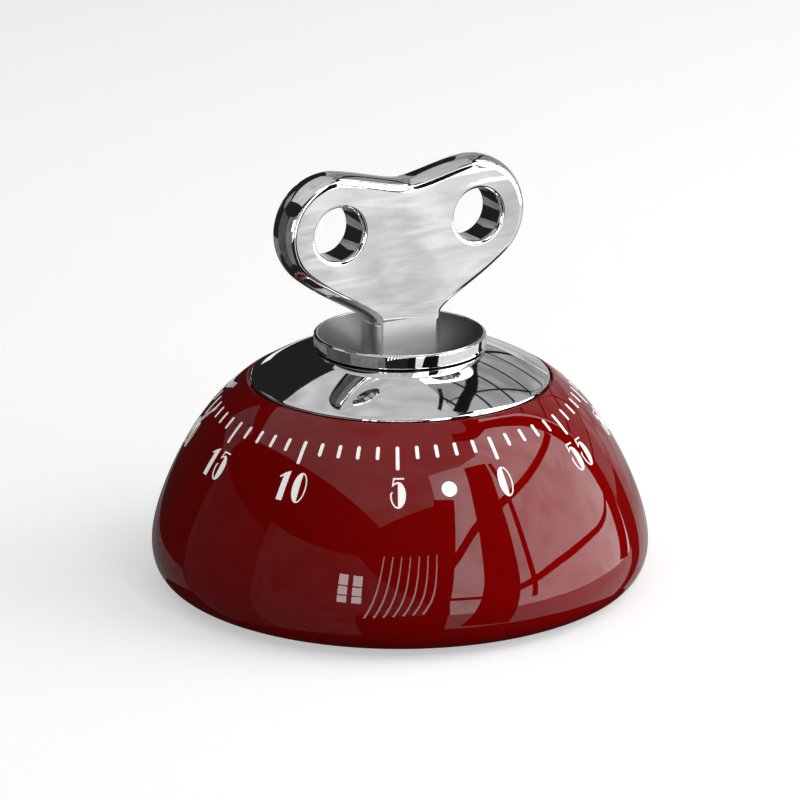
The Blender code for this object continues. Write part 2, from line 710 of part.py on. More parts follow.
def make_train(places, finishes):
    """Main wheel, second and third wheels and the escape wheel, each meshed with the next pinion."""
    brass = finishes["brass"]
    steel = finishes["steel"]
    half_leaf = 180 / LEAVES
    bore = ARBOR + FIT_GAP
    steps = (
        ("second", (0, 0), MAIN_MODULE, MAIN_WHEEL_Z),
        ("third", places["second"], TRAIN_MODULE, SECOND_WHEEL_Z),
        ("escape", places["third"], TRAIN_MODULE, THIRD_WHEEL_Z),
    )
    phases = {}
    for name, driver, module, levels in steps:
        phases[name] = heading(driver, places[name])
        phase = phases[name] + 180 + half_leaf
        leaves = (module, levels[0] - 0.6, levels[1] + 0.6, phase)
        make_arbor(name + "_pinion", places[name], steel, leaves)
    windows = crossings(4, 6.2, 15.2, 2.4)
    main_loops = [gear_outline(MAIN_TEETH, MAIN_MODULE), circle((0, 0), MAIN_ARBOR + FIT_GAP, 16)]
    to_click = CLICK_PIVOT[1] - phases["second"]
    main_loops += [placed(window, (0, 0), to_click) for window in windows]
    main_loops.append(circle(polar(CLICK_PIVOT[0], to_click), 1.1, 10))
    to_foot = CLICK_SPRING_FOOT[1] - phases["second"]
    main_loops.append(circle(polar(CLICK_SPRING_FOOT[0], to_foot), 0.6, 8))
    place(flat("main_wheel", main_loops, *MAIN_WHEEL_Z, brass), (0, 0), phases["second"])
    wheel("second_wheel", gear_outline(SECOND_TEETH, TRAIN_MODULE), places["second"], SECOND_WHEEL_Z,
          phases["third"], bore, crossings(3, 3.0, 9.8, 1.8), brass)
    wheel("third_wheel", gear_outline(THIRD_TEETH, TRAIN_MODULE), places["third"], THIRD_WHEEL_Z,
          phases["escape"], bore, crossings(3, 3.0, 9.0, 1.8), brass)
    wheel("escape_wheel", saw_outline(ESCAPE_TEETH, ESCAPE_TIP, ESCAPE_ROOT, 0.72), places["escape"],
          ESCAPE_WHEEL_Z, heading(places["escape"], places["pallet"]), bore,
          crossings(3, 2.0, 3.6, 0.9), brass)


def click_swing():
    """How far the click leans from the line through its rivet and the main arbor, in degrees."""
    ring, length, nose = CLICK_PIVOT[0], CLICK_LENGTH, CLICK_NOSE_RADIUS
    return degrees(acos((ring ** 2 + length ** 2 - nose ** 2) / (2 * ring * length)))


def make_ratchet(finishes):
    """The ratchet wheel on the arbor, and the click, its rivet and its spring on the main wheel."""
    steel = finishes["steel"]
    pivot = polar(*CLICK_PIVOT)
    turn = CLICK_PIVOT[1] + click_swing()
    outline = arc((0, 0), 1.6, -60, 120, 8) + [(-2.4, 1.3), (-CLICK_LENGTH, 0.0), (-2.4, -1.0)]
    place(flat("click", [outline, circle((0, 0), 1.1, 10)], *RATCHET_Z, steel), pivot, turn)
    nose = placed([(-CLICK_LENGTH, 0.0)], pivot, turn)[0]
    teeth = saw_outline(RATCHET_TEETH, RATCHET_TIP, RATCHET_ROOT)
    ratchet = flat("ratchet_wheel", [teeth, circle((0, 0), MAIN_ARBOR + FIT_GAP, 16)], *RATCHET_Z, steel)
    place(ratchet, (0, 0), heading((0, 0), nose) - CLICK_NOSE_PAST_TIP)
    above = RATCHET_Z[1] + FIT_GAP
    below = MAIN_WHEEL_Z[0] - FIT_GAP
    rivet = [
        (0.0, above + 0.4), (1.5, above + 0.4), (1.5, above), (0.8, above),
        (0.8, below), (1.5, below), (1.5, below - 0.4), (0.0, below - 0.4),
    ]
    place(turned("click_rivet", rivet, steel, 10), pivot)
    make_click_spring(pivot, nose, finishes["spring_steel"])


def make_click_spring(pivot, nose, finish):
    """A wire spring: its foot is hooked into the main wheel's rim and its tip lies behind the click."""
    foot = polar(*CLICK_SPRING_FOOT)
    past_rivet = (pivot[0] - 2.6, pivot[1] + 1.4)
    tip = (nose[0] - 1.8, nose[1] - 0.4)
    path = bezier(foot, (foot[0] + 4.0, foot[1] + 0.6), past_rivet, tip, 6)
    spring = flat("click_spring", [strip(path, 0.4)], *RATCHET_Z, finish)
    hook = rod("click_spring_hook", foot, 0.3, MAIN_WHEEL_Z[0] - FIT_GAP, RATCHET_Z[1] - 0.2, finish, 8)
    combine(spring, hook, "UNION")


def make_trip_cam(finish):
    """The cam whose notch, at 0, lets the hammer's nose drop."""
    notch = HAMMER_PIVOT[1]
    outline = arc((0, 0), 5.5, notch + 14, notch + 346, 22) + arc((0, 0), 4.2, notch - 10, notch + 10, 3)
    loops = [outline, circle((0, 0), MAIN_ARBOR + FIT_GAP, 16)]
    flat("trip_cam", loops, *cam_levels(), finish)


def make_stops(finishes):
    """The arm on the arbor and the pin on the plate that it meets at both ends of its travel."""
    rest = STOP_PIN_ANGLE - STOP_HALF_ANGLE
    hub = arc((0, 0), 4.6, 20, 340, 14)
    arm = [(12.0, -0.9), (17.4, -0.6), (17.7, 0.0), (17.4, 0.6), (12.0, 0.9)]
    loops = [hub + arm, circle((0, 0), MAIN_ARBOR + FIT_GAP, 16)]
    place(flat("stop_arm", loops, *STOP_ARM_Z, finishes["steel"]), (0, 0), rest)
    seat = UPPER_PLATE[2] + FIT_GAP
    profile = [
        (0.0, STOP_ARM_Z[1] + 0.6), (STOP_PIN, STOP_ARM_Z[1] + 0.6), (STOP_PIN, 35.2), (1.8, 35.2),
        (1.8, seat), (0.7, seat), (0.7, UPPER_PLATE[1]), (0.0, UPPER_PLATE[1]),
    ]
    place(turned("stop_pin", profile, finishes["steel"], 12), polar(STOP_RING, STOP_PIN_ANGLE))


def make_mainspring(finishes):
    """The mainspring above the upper plate and the stud that holds its outer end."""
    path = spiral((0, 0), MAINSPRING_RADII, MAINSPRING_TURNS, MAINSPRING_STUD[1], 18)
    flat("mainspring", [strip(path, 0.5)], *MAINSPRING_Z, finishes["spring_steel"])
    seat = UPPER_PLATE[2] + FIT_GAP
    profile = [
        (0.0, MAINSPRING_Z[1] + 0.3), (0.55, MAINSPRING_Z[1] + 0.3), (0.55, 34.0), (1.3, 34.0),
        (1.3, seat), (0.8, seat), (0.8, UPPER_PLATE[1]), (0.0, UPPER_PLATE[1]),
    ]
    place(turned("mainspring_stud", profile, finishes["steel"], 12), polar(*MAINSPRING_STUD))


# ---------------------------------------------------------------- escapement

def make_pallets(places, finishes):
    """The pin-pallet lever and its arbor. Its fork points away from the escape wheel."""
    upper = [
        (-5.9, 0.55), (-7.8, 0.55), (-7.8, 1.15), (-5.4, 1.15), (-4.6, 0.6), (-1.4, 0.6),
        (-1.0, 1.4), (2.3, 5.4), (3.4, 5.5), (3.9, 4.7), (1.7, 1.4),
    ]
    outline = upper + [(x, -y) for x, y in upper[::-1]]
    centre = places["pallet"]
    turn = heading(centre, places["escape"])
    loops = [outline[::-1], circle((0, 0), ARBOR - 0.1 + FIT_GAP, 10)]
    lever = place(flat("pallet_lever", loops, *PALLET_Z, finishes["brass"]), centre, turn)
    for side in (-1, 1):
        pin_levels = (ESCAPE_WHEEL_Z[0] - 0.2, PALLET_Z[1] - 0.2)
        pin = rod("pallet_pin", (0, 0), 0.35, *pin_levels, finishes["steel"], 8)
        at = placed([(PALLET_PIN_AT[0], side * PALLET_PIN_AT[1])], centre, turn)[0]
        pin.location.x = at[0] * MM
        pin.location.y = at[1] * MM
        combine(lever, pin, "UNION")
    make_arbor("pallet_arbor", centre, finishes["steel"])


def make_balance(places, finishes):
    """The balance staff with its roller and impulse pin, and the balance wheel."""
    centre = places["balance"]
    low = LOWER_PLATE[2] + FIT_GAP
    high = UPPER_PLATE[1] - FIT_GAP
    profile = [
        (0.0, high + 1.3), (PIVOT, high + 1.3), (PIVOT, high), (0.8, high), (0.8, 25.6), (0.4, 25.6),
        (0.4, 23.2), (2.1, 23.2), (2.1, 22.6), (ARBOR, 22.6), (ARBOR, low), (PIVOT, low),
        (PIVOT, low - 1.3), (0.0, low - 1.3),
    ]
    staff = place(turned("balance_staff", profile, finishes["steel"], 12), centre)
    turn = heading(centre, places["pallet"])
    pin = rod("impulse_pin", (0, 0), 0.3, 22.9, PALLET_Z[1] + 0.3, finishes["steel"], 8)
    at = placed([(IMPULSE_RADIUS, 0)], centre, turn)[0]
    pin.location.x = at[0] * MM
    pin.location.y = at[1] * MM
    combine(staff, pin, "UNION")
    wheel("balance_wheel", circle((0, 0), BALANCE_RADIUS, 24), centre, BALANCE_Z, turn + 90,
          ARBOR + FIT_GAP, crossings(2, 2.2, 5.9, 1.6), finishes["brass"])


def hairspring_stud_place(places):
    """The stud stands on the far side of the balance from the main arbor."""
    x, y = places["balance"]
    share = 1 + (HAIRSPRING_RADII[1] + 1.2) / hypot(x, y)
    return (x * share, y * share)


def make_hairspring(places, finishes):
    """The balance's hairspring and its stud."""
    centre = places["balance"]
    outward = heading((0, 0), centre)
    path = spiral(centre, HAIRSPRING_RADII, HAIRSPRING_TURNS, outward, 14)
    flat("hairspring", [strip(path, 0.25)], *HAIRSPRING_Z, finishes["spring_steel"])
    at = hairspring_stud_place(places)
    rod("hairspring_stud", at, 0.7, HAIRSPRING_Z[0] - 0.4, UPPER_PLATE[2], finishes["steel"], 10)


# ---------------------------------------------------------------- assembly

def main():
    start_scene()
    finishes = make_materials()
    places = train_places()
    make_dome(finishes["red_lacquer"])
    make_cap(finishes["chrome"])
    make_clip_ring(finishes["spring_steel"])
    make_base(finishes["black_enamel"])
    make_feet(finishes["rubber"])
    make_key(finishes["chrome"])
    make_key_pin(finishes["steel"])
    make_cup(finishes["chrome"])
    make_main_arbor(finishes["steel"])
    make_plates(places, finishes["brass"])
    make_frame_posts(finishes)
    make_bell(finishes)
    make_train(places, finishes)
    make_ratchet(finishes)
    make_trip_cam(finishes["brass"])
    make_stops(finishes)
    make_mainspring(finishes)
    make_pallets(places, finishes)
    make_balance(places, finishes)
    make_hairspring(places, finishes)
    make_hammer(places, finishes)
    make_hammer_spring(finishes["spring_steel"])


main()
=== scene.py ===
"""Looks of the wind-up kitchen timer: lacquered dome, chrome cap, cup and key, printed scale.

Lengths are millimetres and are scaled to metres as each piece is made, but the studio's own
are metres. Angles are degrees. A pair such as DOME_EDGE is a point: its distance from the axis
and its height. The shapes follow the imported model, in its frame: +Z up, the main arbor on the
Z axis and the 0 mark towards -Y.
"""

import json
from math import cos, degrees, hypot, pi, radians, sin, sqrt, tan

import bmesh
import bpy
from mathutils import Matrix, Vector


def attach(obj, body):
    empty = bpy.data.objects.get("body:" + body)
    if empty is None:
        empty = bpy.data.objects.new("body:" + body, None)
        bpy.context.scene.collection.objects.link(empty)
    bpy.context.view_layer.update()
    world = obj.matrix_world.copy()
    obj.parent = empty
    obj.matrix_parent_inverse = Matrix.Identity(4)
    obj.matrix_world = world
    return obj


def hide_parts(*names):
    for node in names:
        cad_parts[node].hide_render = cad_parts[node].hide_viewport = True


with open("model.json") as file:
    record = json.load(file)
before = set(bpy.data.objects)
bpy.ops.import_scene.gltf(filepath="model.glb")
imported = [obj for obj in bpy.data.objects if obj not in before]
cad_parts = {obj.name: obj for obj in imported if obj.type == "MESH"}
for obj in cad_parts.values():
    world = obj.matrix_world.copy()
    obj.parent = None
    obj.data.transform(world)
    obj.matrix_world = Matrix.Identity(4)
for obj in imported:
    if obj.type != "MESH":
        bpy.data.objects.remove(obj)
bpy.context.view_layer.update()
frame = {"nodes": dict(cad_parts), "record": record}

MM = 0.001

# Dome and cap
DOME_RADIUS = 50.0
WIDEST_Z = 7.8
DOME_WALL = 1.1
DOME_EDGE = (30.35, 41.35)
DOME_SHOULDER = (46.05, 21.48)
DOME_LIP = (45.6, 1.2)
DOME_UPPER_PULL = ((38.23, 36.29), (43.19, 27.74))      # the line bends towards these points
DOME_MIDDLE_PULL = ((47.72, 17.81), (DOME_RADIUS, 12.03))
DOME_LOWER_PULL = ((DOME_RADIUS, 4.0), (48.4, 1.3))
DOME_EDGE_ROUND = 0.22
DOME_LEAD = (0.9, -0.58)        # how far out and down the rounded edge runs into the line
LEDGE_DROP = 1.25
LEDGE_INNER = 27.6
CAP_EDGE = 29.98
CAP_SPHERE = 57.8
CAP_APEX_Z = 49.9
CAP_WALL = 0.9
CAP_HOLE = 16.15
CAP_SKIRT = (26.4, 27.2)
CAP_SKIRT_Z = 37.5
CAP_ROLL = 0.5          # width of the cap's rolled edge
CAP_ROLL_DROP = 0.3     # and how far its outermost point lies below the sphere's line
CAP_UNDER_RADIUS = 21.5         # the underside's line bends here, between skirt and hole
ROUND_STEPS = 256       # facets round the casing

# Key and cup
KEY_HALF = 3.95         # half of the key's thickness
KEY_ROLL = 2.2          # how far the rounded rim swells out beyond the flat faces
LOBE_CENTRE = (15.55, 73.1)
LOBE_RADIUS = 9.5       # of the flat face, as are the key's other outline sizes
LOBE_START = 100        # where the round edge of the lobe starts and ends
LOBE_END = -51
WAIST_REACH = 9.5       # how far the line of the lobe runs on before the waist bends down
FINGER_HOLE = 5.3
FINGER_FLARE = 0.85
NOTCH_Z = 79.7
NOTCH_PULL = ((3.2, NOTCH_Z), (9.4, 81.8))      # the line to the lobe bends towards these points
STEM_HALF = 5.85
STEM_TOP_Z = 53.9
WAIST_DROP = 3.5        # the waist starts to straighten this far above the stem's top
STEM_CORNER = 1.2
STEM_Z = 44.2           # the rim's lowest point
GROUND_TOP_Z = 54.0     # the flats of the shank are ground to a satin finish up to here,
GROUND_FADE = 0.15      # where the finish fades over this height; across the shank it fades
GROUND_FACING = (0.985, 0.995)  # over this part of the turn from the rim to the flat
GROUND_ROUGHNESS = 0.5
CUP_RADIUS = 17.15
CUP_RIM_Z = 50.4
CUP_BAND_Z = 47.66
CUP_INNER_CORNER = (16.2, 47.98)
CUP_WALL = 0.85
CUP_FLOOR_Z = 43.4
CUP_RIM = 0.8           # width of the rounded rim
CUP_BAND_ROUND = 0.18
CUP_BOWL_PULL = ((14.2, 46.9), (10.5, 43.6))    # the bowl's line bends towards these points
CUP_BOWL_FOOT = 6.2     # and reaches the floor at this radius
CUP_HUB = 2.8
CUP_HUB_DEPTH = 0.95

# Base
BASE_RADIUS = 46.4
BASE_Z = (2.9, 4.1)
FOOT_RING = 38.0
FOOT_ANGLES = (30, 150, 270)
SCREW_RING = 30.5
SCREW_ANGLES = (90, 210, 330)
SOUND_SLOTS = 9
SLOT_RADII = (12.0, 22.0)
SLOT_HALF = 1.1
BASE_EDGE = 0.25        # rounding of the base plate's edges
BELL_HOLE = 2.1
FOOT_HOLE = 2.1
SCREW_HOLE = 1.5
FOOT_TOP_Z = 2.6        # top of the foot's pad, just under the base plate
# The foot's outline as (radius, height, rounding), from its barb's top down to the table
FOOT_SHAPE = [(0.0, 6.3, 0), (1.2, 6.3, 0.3), (2.9, 4.9, 0.2), (2.9, 4.4, 0.1), (1.8, 4.4, 0),
              (1.8, FOOT_TOP_Z, 0), (5.0, FOOT_TOP_Z, 0.35), (4.6, 0.0, 0.45), (0.0, 0.0, 0)]

# Printed scale: distances along the dome from its upper edge
MINUTES = 60
TICK_TOP = 5.6
MINOR_TICK = 2.8
MAJOR_TICK = 4.95
TICK_WIDTH = 0.7
NUMBER_TOP = 12.1
DIGIT_HEIGHT = 6.0
DIGIT_SPREAD = 1.85     # a two-digit number's digits stand this far to each side of its tick
DOT_RADIUS = 1.5
DOT_DOWN = 14.9
DOT_MINUTE = 2.7
PRINT_TURN = 1.5        # the print is turned by this angle and
PRINT_SHIFT = (1.1, 150.5)      # stands off centre by this distance, towards this angle
PRINT_HEIGHT = 0.04     # thickness of the paint above the lacquer
PRINT_DEPTH = 0.02      # and how far its underside lies below the surface
PRINT_CELL = 0.9        # the paint follows the dome in cells of this size

# Meshes
TURNED_SHARP = 35       # faces that meet at more than this angle show a crease
PRINT_SHARP = 40
WELD_GAP = 0.001        # points closer than this are one point
CORNER_PULL = 0.55      # how far a rounded corner's curve is drawn towards the corner

# View
TARGET_Z = 36.1
VIEW_TURN = 29.5        # the camera stands this far to the left of the 0 mark
VIEW_RISE = 17.8
VIEW_DISTANCE = 710.0
LENS = 160.2

# Studio: places and sizes in metres
FLOOR_HALF = 3.0
FLOOR_LIGHT = 0.45
ROOM_LIGHT = 0.015
BACKDROP = (0.93, 0.93, 0.93, 1.0)
FILL_PLACE = (0.5, -0.5, 1.1)
FILL_SIZE = 0.8
FILL_POWER = 14.0
CEILING_X = (-0.82, 0.35)
CEILING_Y = (-0.97, 0.95)
CEILING_Z = 0.9
CARD_STEPS = 4          # a pane follows its sphere in this many steps each way
BAR_STEPS = 8           # and a bar takes this many between two points of its route


# ---------------------------------------------------------------- outlines

def polar(radius, angle):
    """The point at a radius and an angle in degrees from +X."""
    return (radius * cos(radians(angle)), radius * sin(radians(angle)))


def arc(centre, radius, start, end, steps):
    """Points along a circle from one angle to another, in degrees, both ends included."""
    points = []
    for i in range(steps + 1):
        x, y = polar(radius, start + (end - start) * i / steps)
        points.append((centre[0] + x, centre[1] + y))
    return points


def circle(centre, radius, steps):
    """A closed circle."""
    return arc(centre, radius, 0, 360, steps)[:-1]


def ellipse(centre, radii, start, end, steps):
    """Points along an ellipse from one angle to another, both ends included."""
    unit = arc((0, 0), 1.0, start, end, steps)
    return [(centre[0] + x * radii[0], centre[1] + y * radii[1]) for x, y in unit]


def bezier(start, handle_a, handle_b, end, steps):
    """Points along a cubic curve, both ends included."""
    points = []
    for i in range(steps + 1):
        t = i / steps
        weights = ((1 - t) ** 3, 3 * t * (1 - t) ** 2, 3 * t * t * (1 - t), t ** 3)
        corners = (start, handle_a, handle_b, end)
        points.append(tuple(sum(w * c[k] for w, c in zip(weights, corners)) for k in (0, 1)))
    return points


def offset(points, distance):
    """A copy of an open line, moved to the left of its direction by a distance."""
    moved = []
    for i, (x, y) in enumerate(points):
        before = points[max(i - 1, 0)]
        after = points[min(i + 1, len(points) - 1)]
        dx = after[0] - before[0]
        dy = after[1] - before[1]
        length = hypot(dx, dy)
        moved.append((x - dy / length * distance, y + dx / length * distance))
    return moved


def without_repeats(loop):
    """A closed outline without points that fall on the one before them."""
    return [p for i, p in enumerate(loop) if hypot(p[0] - loop[i - 1][0], p[1] - loop[i - 1][1]) > 1e-4]


def loop_offset(loop, distance):
    """A copy of a closed outline, moved to the left of its direction by a distance."""
    ring = [loop[-1]] + loop + [loop[0]]
    return offset(ring, distance)[1:-1]


def placed(points, centre, turn):
    """An outline turned by an angle in degrees and moved to a centre."""
    c = cos(radians(turn))
    s = sin(radians(turn))
    return [(centre[0] + x * c - y * s, centre[1] + x * s + y * c) for x, y in points]


def filleted(corners, steps=5):
    """A line through (x, y, radius) corners, each rounded by its radius."""
    points = []
    for i, (x, y, radius) in enumerate(corners):
        if radius == 0 or i in (0, len(corners) - 1):
            points.append((x, y))
            continue
        corner = Vector((x, y))
        back = (Vector(corners[i - 1][:2]) - corner).normalized()
        ahead = (Vector(corners[i + 1][:2]) - corner).normalized()
        reach = radius / tan(back.angle(ahead) / 2)
        start = corner + back * reach
        end = corner + ahead * reach
        handles = (start.lerp(corner, CORNER_PULL), end.lerp(corner, CORNER_PULL))
        points += bezier(start, *handles, end, steps)
    return points


# ---------------------------------------------------------------- materials

def shader(name, colour, metallic, roughness):
    """A Principled material; gives the material, its nodes, its links and the shader.

    The colour and the roughness are plain ones, under any texture that is linked later.
    """
    mat = bpy.data.materials.new(name)
    mat.use_nodes = True
    tree = mat.node_tree
    bsdf = tree.nodes["Principled BSDF"]
    bsdf.inputs["Base Color"].default_value = (*colour, 1.0)
    bsdf.inputs["Metallic"].default_value = metallic
    bsdf.inputs["Roughness"].default_value = roughness
    return mat, tree.nodes, tree.links, bsdf


def noise(nodes, links, scale, detail=3.0, stretch=(1, 1, 1), distortion=0.0):
    """Noise over the piece's own coordinates, in features per metre."""
    place = nodes.new("ShaderNodeTexCoord")
    squeeze = nodes.new("ShaderNodeMapping")
    squeeze.inputs["Scale"].default_value = stretch
    links.new(place.outputs["Object"], squeeze.inputs["Vector"])
    texture = nodes.new("ShaderNodeTexNoise")
    texture.inputs["Scale"].default_value = scale
    texture.inputs["Detail"].default_value = detail
    texture.inputs["Distortion"].default_value = distortion
    links.new(squeeze.outputs["Vector"], texture.inputs["Vector"])
    return texture.outputs["Fac"]


def ranged(nodes, links, value, low, high, start=0.3, end=0.7):
    """A value spread from a low to a high level."""
    spread = nodes.new("ShaderNodeMapRange")
    spread.inputs["From Min"].default_value = start
    spread.inputs["From Max"].default_value = end
    spread.inputs["To Min"].default_value = low
    spread.inputs["To Max"].default_value = high
    links.new(value, spread.inputs["Value"])
    return spread.outputs["Result"]


def ramp(nodes, links, value, stops):
    """A colour that changes with a value; stops are (position, colour)."""
    colours = nodes.new("ShaderNodeValToRGB")
    elements = colours.color_ramp.elements
    while len(elements) < len(stops):
        elements.new(0.5)
    for element, (position, colour) in zip(elements, stops):
        element.position = position
        element.color = (*colour, 1.0)
    links.new(value, colours.inputs["Fac"])
    return colours.outputs["Color"]


def bump(nodes, links, height, distance, bsdf, before=None):
    """A relief of a height in metres, on top of an earlier one where there is one."""
    relief = nodes.new("ShaderNodeBump")
    relief.inputs["Distance"].default_value = distance
    links.new(height, relief.inputs["Height"])
    if before:
        links.new(before, relief.inputs["Normal"])
    links.new(relief.outputs["Normal"], bsdf.inputs["Normal"])
    return relief.outputs["Normal"]


def make_lacquer():
    """Deep red lacquer: a clear coat over pigment, with a trace of orange peel."""
    mat, nodes, links, bsdf = shader("deep_red_lacquer", (0.16, 0.001, 0.001), 0.0, 0.5)
    bsdf.inputs["Specular IOR Level"].default_value = 0.0
    bsdf.inputs["Coat Weight"].default_value = 1.0
    bsdf.inputs["Coat Roughness"].default_value = 0.015
    bsdf.inputs["Coat IOR"].default_value = 1.5
    depth = noise(nodes, links, 55.0, 4.0)
    stops = ((0.3, (0.22, 0.0005, 0.0005)), (0.7, (0.255, 0.001, 0.0008)))
    links.new(ramp(nodes, links, depth, stops), bsdf.inputs["Base Color"])
    peel = bump(nodes, links, noise(nodes, links, 420.0, 2.0), 0.0000012, bsdf)
    bump(nodes, links, noise(nodes, links, 60.0, 1.0), 0.000008, bsdf, peel)
    return mat


def make_chrome(name, light, cloud_and_reflection, wave, stretch=(1, 1, 1), haze=0.018):
    """Chrome plate, darkened in soft drifts: partly uneven plating, partly a painted reflection of cloudy
    light on a wavy face. wave ripples it and haze dulls it.
    """
    mat, nodes, links, bsdf = shader(name, (0.9, 0.9, 0.9), 1.0, 0.03)
    drift = noise(nodes, links, 75.0, 4.0, stretch, 1.2)
    # Painted reflection in part: darker clouds in the plating's colour stand for cloudy reflections
    stops = ((0.3, (light - cloud_and_reflection,) * 3), (0.62, (light, light, light)))
    links.new(ramp(nodes, links, drift, stops), bsdf.inputs["Base Color"])
    smear = noise(nodes, links, 900.0, 6.0)
    links.new(ranged(nodes, links, smear, haze, haze + 0.03), bsdf.inputs["Roughness"])
    soft = bump(nodes, links, noise(nodes, links, 90.0, 1.0, stretch, 0.6), wave, bsdf)
    bump(nodes, links, noise(nodes, links, 2600.0, 2.0, (1, 1, 6)), 0.0000004, bsdf, soft)
    return mat


def make_key_chrome():
    """The cast key's chrome, with the flats of its shank ground to a satin finish and strong drifts of
    painted reflection in its plating colour.
    """
    # Strong drifts stretched into flow lines: partly casting marks, partly painted reflection
    mat = make_chrome("cast_key_chrome", 0.97, 0.2, 0.00004, (0.6, 1, 2.6))
    nodes = mat.node_tree.nodes
    links = mat.node_tree.links
    bsdf = nodes["Principled BSDF"]
    polished = bsdf.inputs["Roughness"].links[0].from_socket
    place = nodes.new("ShaderNodeTexCoord")
    spot = nodes.new("ShaderNodeSeparateXYZ")
    links.new(place.outputs["Object"], spot.inputs["Vector"])
    facing = nodes.new("ShaderNodeSeparateXYZ")
    links.new(place.outputs["Normal"], facing.inputs["Vector"])
    flat = nodes.new("ShaderNodeMath")
    flat.operation = "ABSOLUTE"
    links.new(facing.outputs["Y"], flat.inputs[0])
    low = ranged(nodes, links, spot.outputs["Z"], 1.0, 0.0, GROUND_TOP_Z * MM,
                 (GROUND_TOP_Z + GROUND_FADE) * MM)
    flats = ranged(nodes, links, flat.outputs["Value"], 0.0, 1.0, *GROUND_FACING)
    ground = nodes.new("ShaderNodeMath")
    ground.operation = "MULTIPLY"
    links.new(low, ground.inputs[0])
    links.new(flats, ground.inputs[1])
    finish = ranged(nodes, links, ground.outputs["Value"], 0.0, GROUND_ROUGHNESS, 0.0, 1.0)
    links.new(polished, finish.node.inputs["To Min"])
    links.new(finish, bsdf.inputs["Roughness"])
    return mat


def make_print():
    """White screen-printed enamel, slightly raised and uneven, with a painted glow that makes it brighter
    than its light gives.
    """
    mat, nodes, links, bsdf = shader("white_print", (0.9, 0.9, 0.89), 0.0, 0.35)
    bsdf.inputs["Specular IOR Level"].default_value = 0.4
    # Painted light: the print glows a little, though it is no lamp
    bsdf.inputs["Emission Color"].default_value = (1.0, 1.0, 0.99, 1.0)
    bsdf.inputs["Emission Strength"].default_value = 0.3
    patch = noise(nodes, links, 700.0, 5.0)
    stops = ((0.25, (0.9, 0.9, 0.89)), (0.75, (0.98, 0.98, 0.97)))
    links.new(ramp(nodes, links, patch, stops), bsdf.inputs["Base Color"])
    links.new(ranged(nodes, links, patch, 0.28, 0.42), bsdf.inputs["Roughness"])
    bump(nodes, links, noise(nodes, links, 2400.0, 2.0), 0.000004, bsdf)
    return mat


def make_enamel():
    """Satin black enamel with a fine wrinkle."""
    mat, nodes, links, bsdf = shader("black_enamel", (0.02, 0.02, 0.022), 0.0, 0.4)
    grain = noise(nodes, links, 1400.0, 4.0, (1, 1, 1), 1.0)
    stops = ((0.3, (0.012, 0.012, 0.013)), (0.7, (0.035, 0.035, 0.037)))
    links.new(ramp(nodes, links, grain, stops), bsdf.inputs["Base Color"])
    links.new(ranged(nodes, links, grain, 0.32, 0.55), bsdf.inputs["Roughness"])
    bump(nodes, links, grain, 0.00004, bsdf)
    return mat


def make_rubber():
    """Matte black rubber with a dusty bloom and a moulded grain."""
    mat, nodes, links, bsdf = shader("foot_rubber", (0.02, 0.02, 0.02), 0.0, 0.75)
    bloom = noise(nodes, links, 260.0, 5.0)
    stops = ((0.35, (0.014, 0.014, 0.014)), (0.75, (0.045, 0.045, 0.043)))
    links.new(ramp(nodes, links, bloom, stops), bsdf.inputs["Base Color"])
    links.new(ranged(nodes, links, bloom, 0.65, 0.9), bsdf.inputs["Roughness"])
    bump(nodes, links, noise(nodes, links, 3200.0, 3.0), 0.00002, bsdf)
    return mat


def make_metal(name, dark, light, roughness, grain, stretch, relief):
    """A worked metal: drifts of tone, and a grain stretched along the way it was worked."""
    mat, nodes, links, bsdf = shader(name, light, 1.0, roughness)
    tone = noise(nodes, links, 130.0, 5.0, (1, 1, 1), 0.8)
    links.new(ramp(nodes, links, tone, ((0.3, dark), (0.7, light))), bsdf.inputs["Base Color"])
    lines = noise(nodes, links, grain, 3.0, stretch)
    spread = ranged(nodes, links, lines, roughness - 0.08, roughness + 0.1)
    links.new(spread, bsdf.inputs["Roughness"])
    bump(nodes, links, lines, relief, bsdf)
    return mat


def make_finishes():
    """One material for each of the record's slots, and the key's own chrome."""
    return {
        "lacquer": make_lacquer(),
        "chrome": make_chrome("chrome_plate", 0.93, 0.05, 0.000004),
        "key_chrome": make_key_chrome(),
        # Satin roughness is the bowl's finish; its metal darkened to 0.3 is painted shade for the cup's
        # hollow
        "satin_chrome_painted_shade": make_chrome("satin_chrome_painted_shade", 0.3, 0.06, 0.000004, (1, 1, 1), 0.4),
        "print": make_print(),
        "enamel": make_enamel(),
        "rubber": make_rubber(),
        "brass": make_metal("stamped_brass", (0.62, 0.4, 0.15), (0.83, 0.62, 0.3), 0.28, 1500.0,
                            (1, 8, 1), 0.000006),
        "steel": make_metal("turned_steel", (0.42, 0.42, 0.43), (0.64, 0.65, 0.66), 0.3, 1800.0,
                            (1, 1, 9), 0.000006),
        "spring_steel": make_metal("blued_steel", (0.05, 0.07, 0.16), (0.17, 0.16, 0.24), 0.26,
                                   1200.0, (1, 1, 6), 0.000004),
        "bell_steel": make_metal("plated_bell_steel", (0.6, 0.6, 0.6), (0.8, 0.81, 0.82), 0.2,
                                 900.0, (1, 1, 4), 0.000005),
    }


# ---------------------------------------------------------------- solids

def add_object(name, mesh, finish):
    """Link a mesh as an object with its material."""
    obj = bpy.data.objects.new(name, mesh)
    bpy.context.scene.collection.objects.link(obj)
    mesh.materials.append(finish)
    return obj


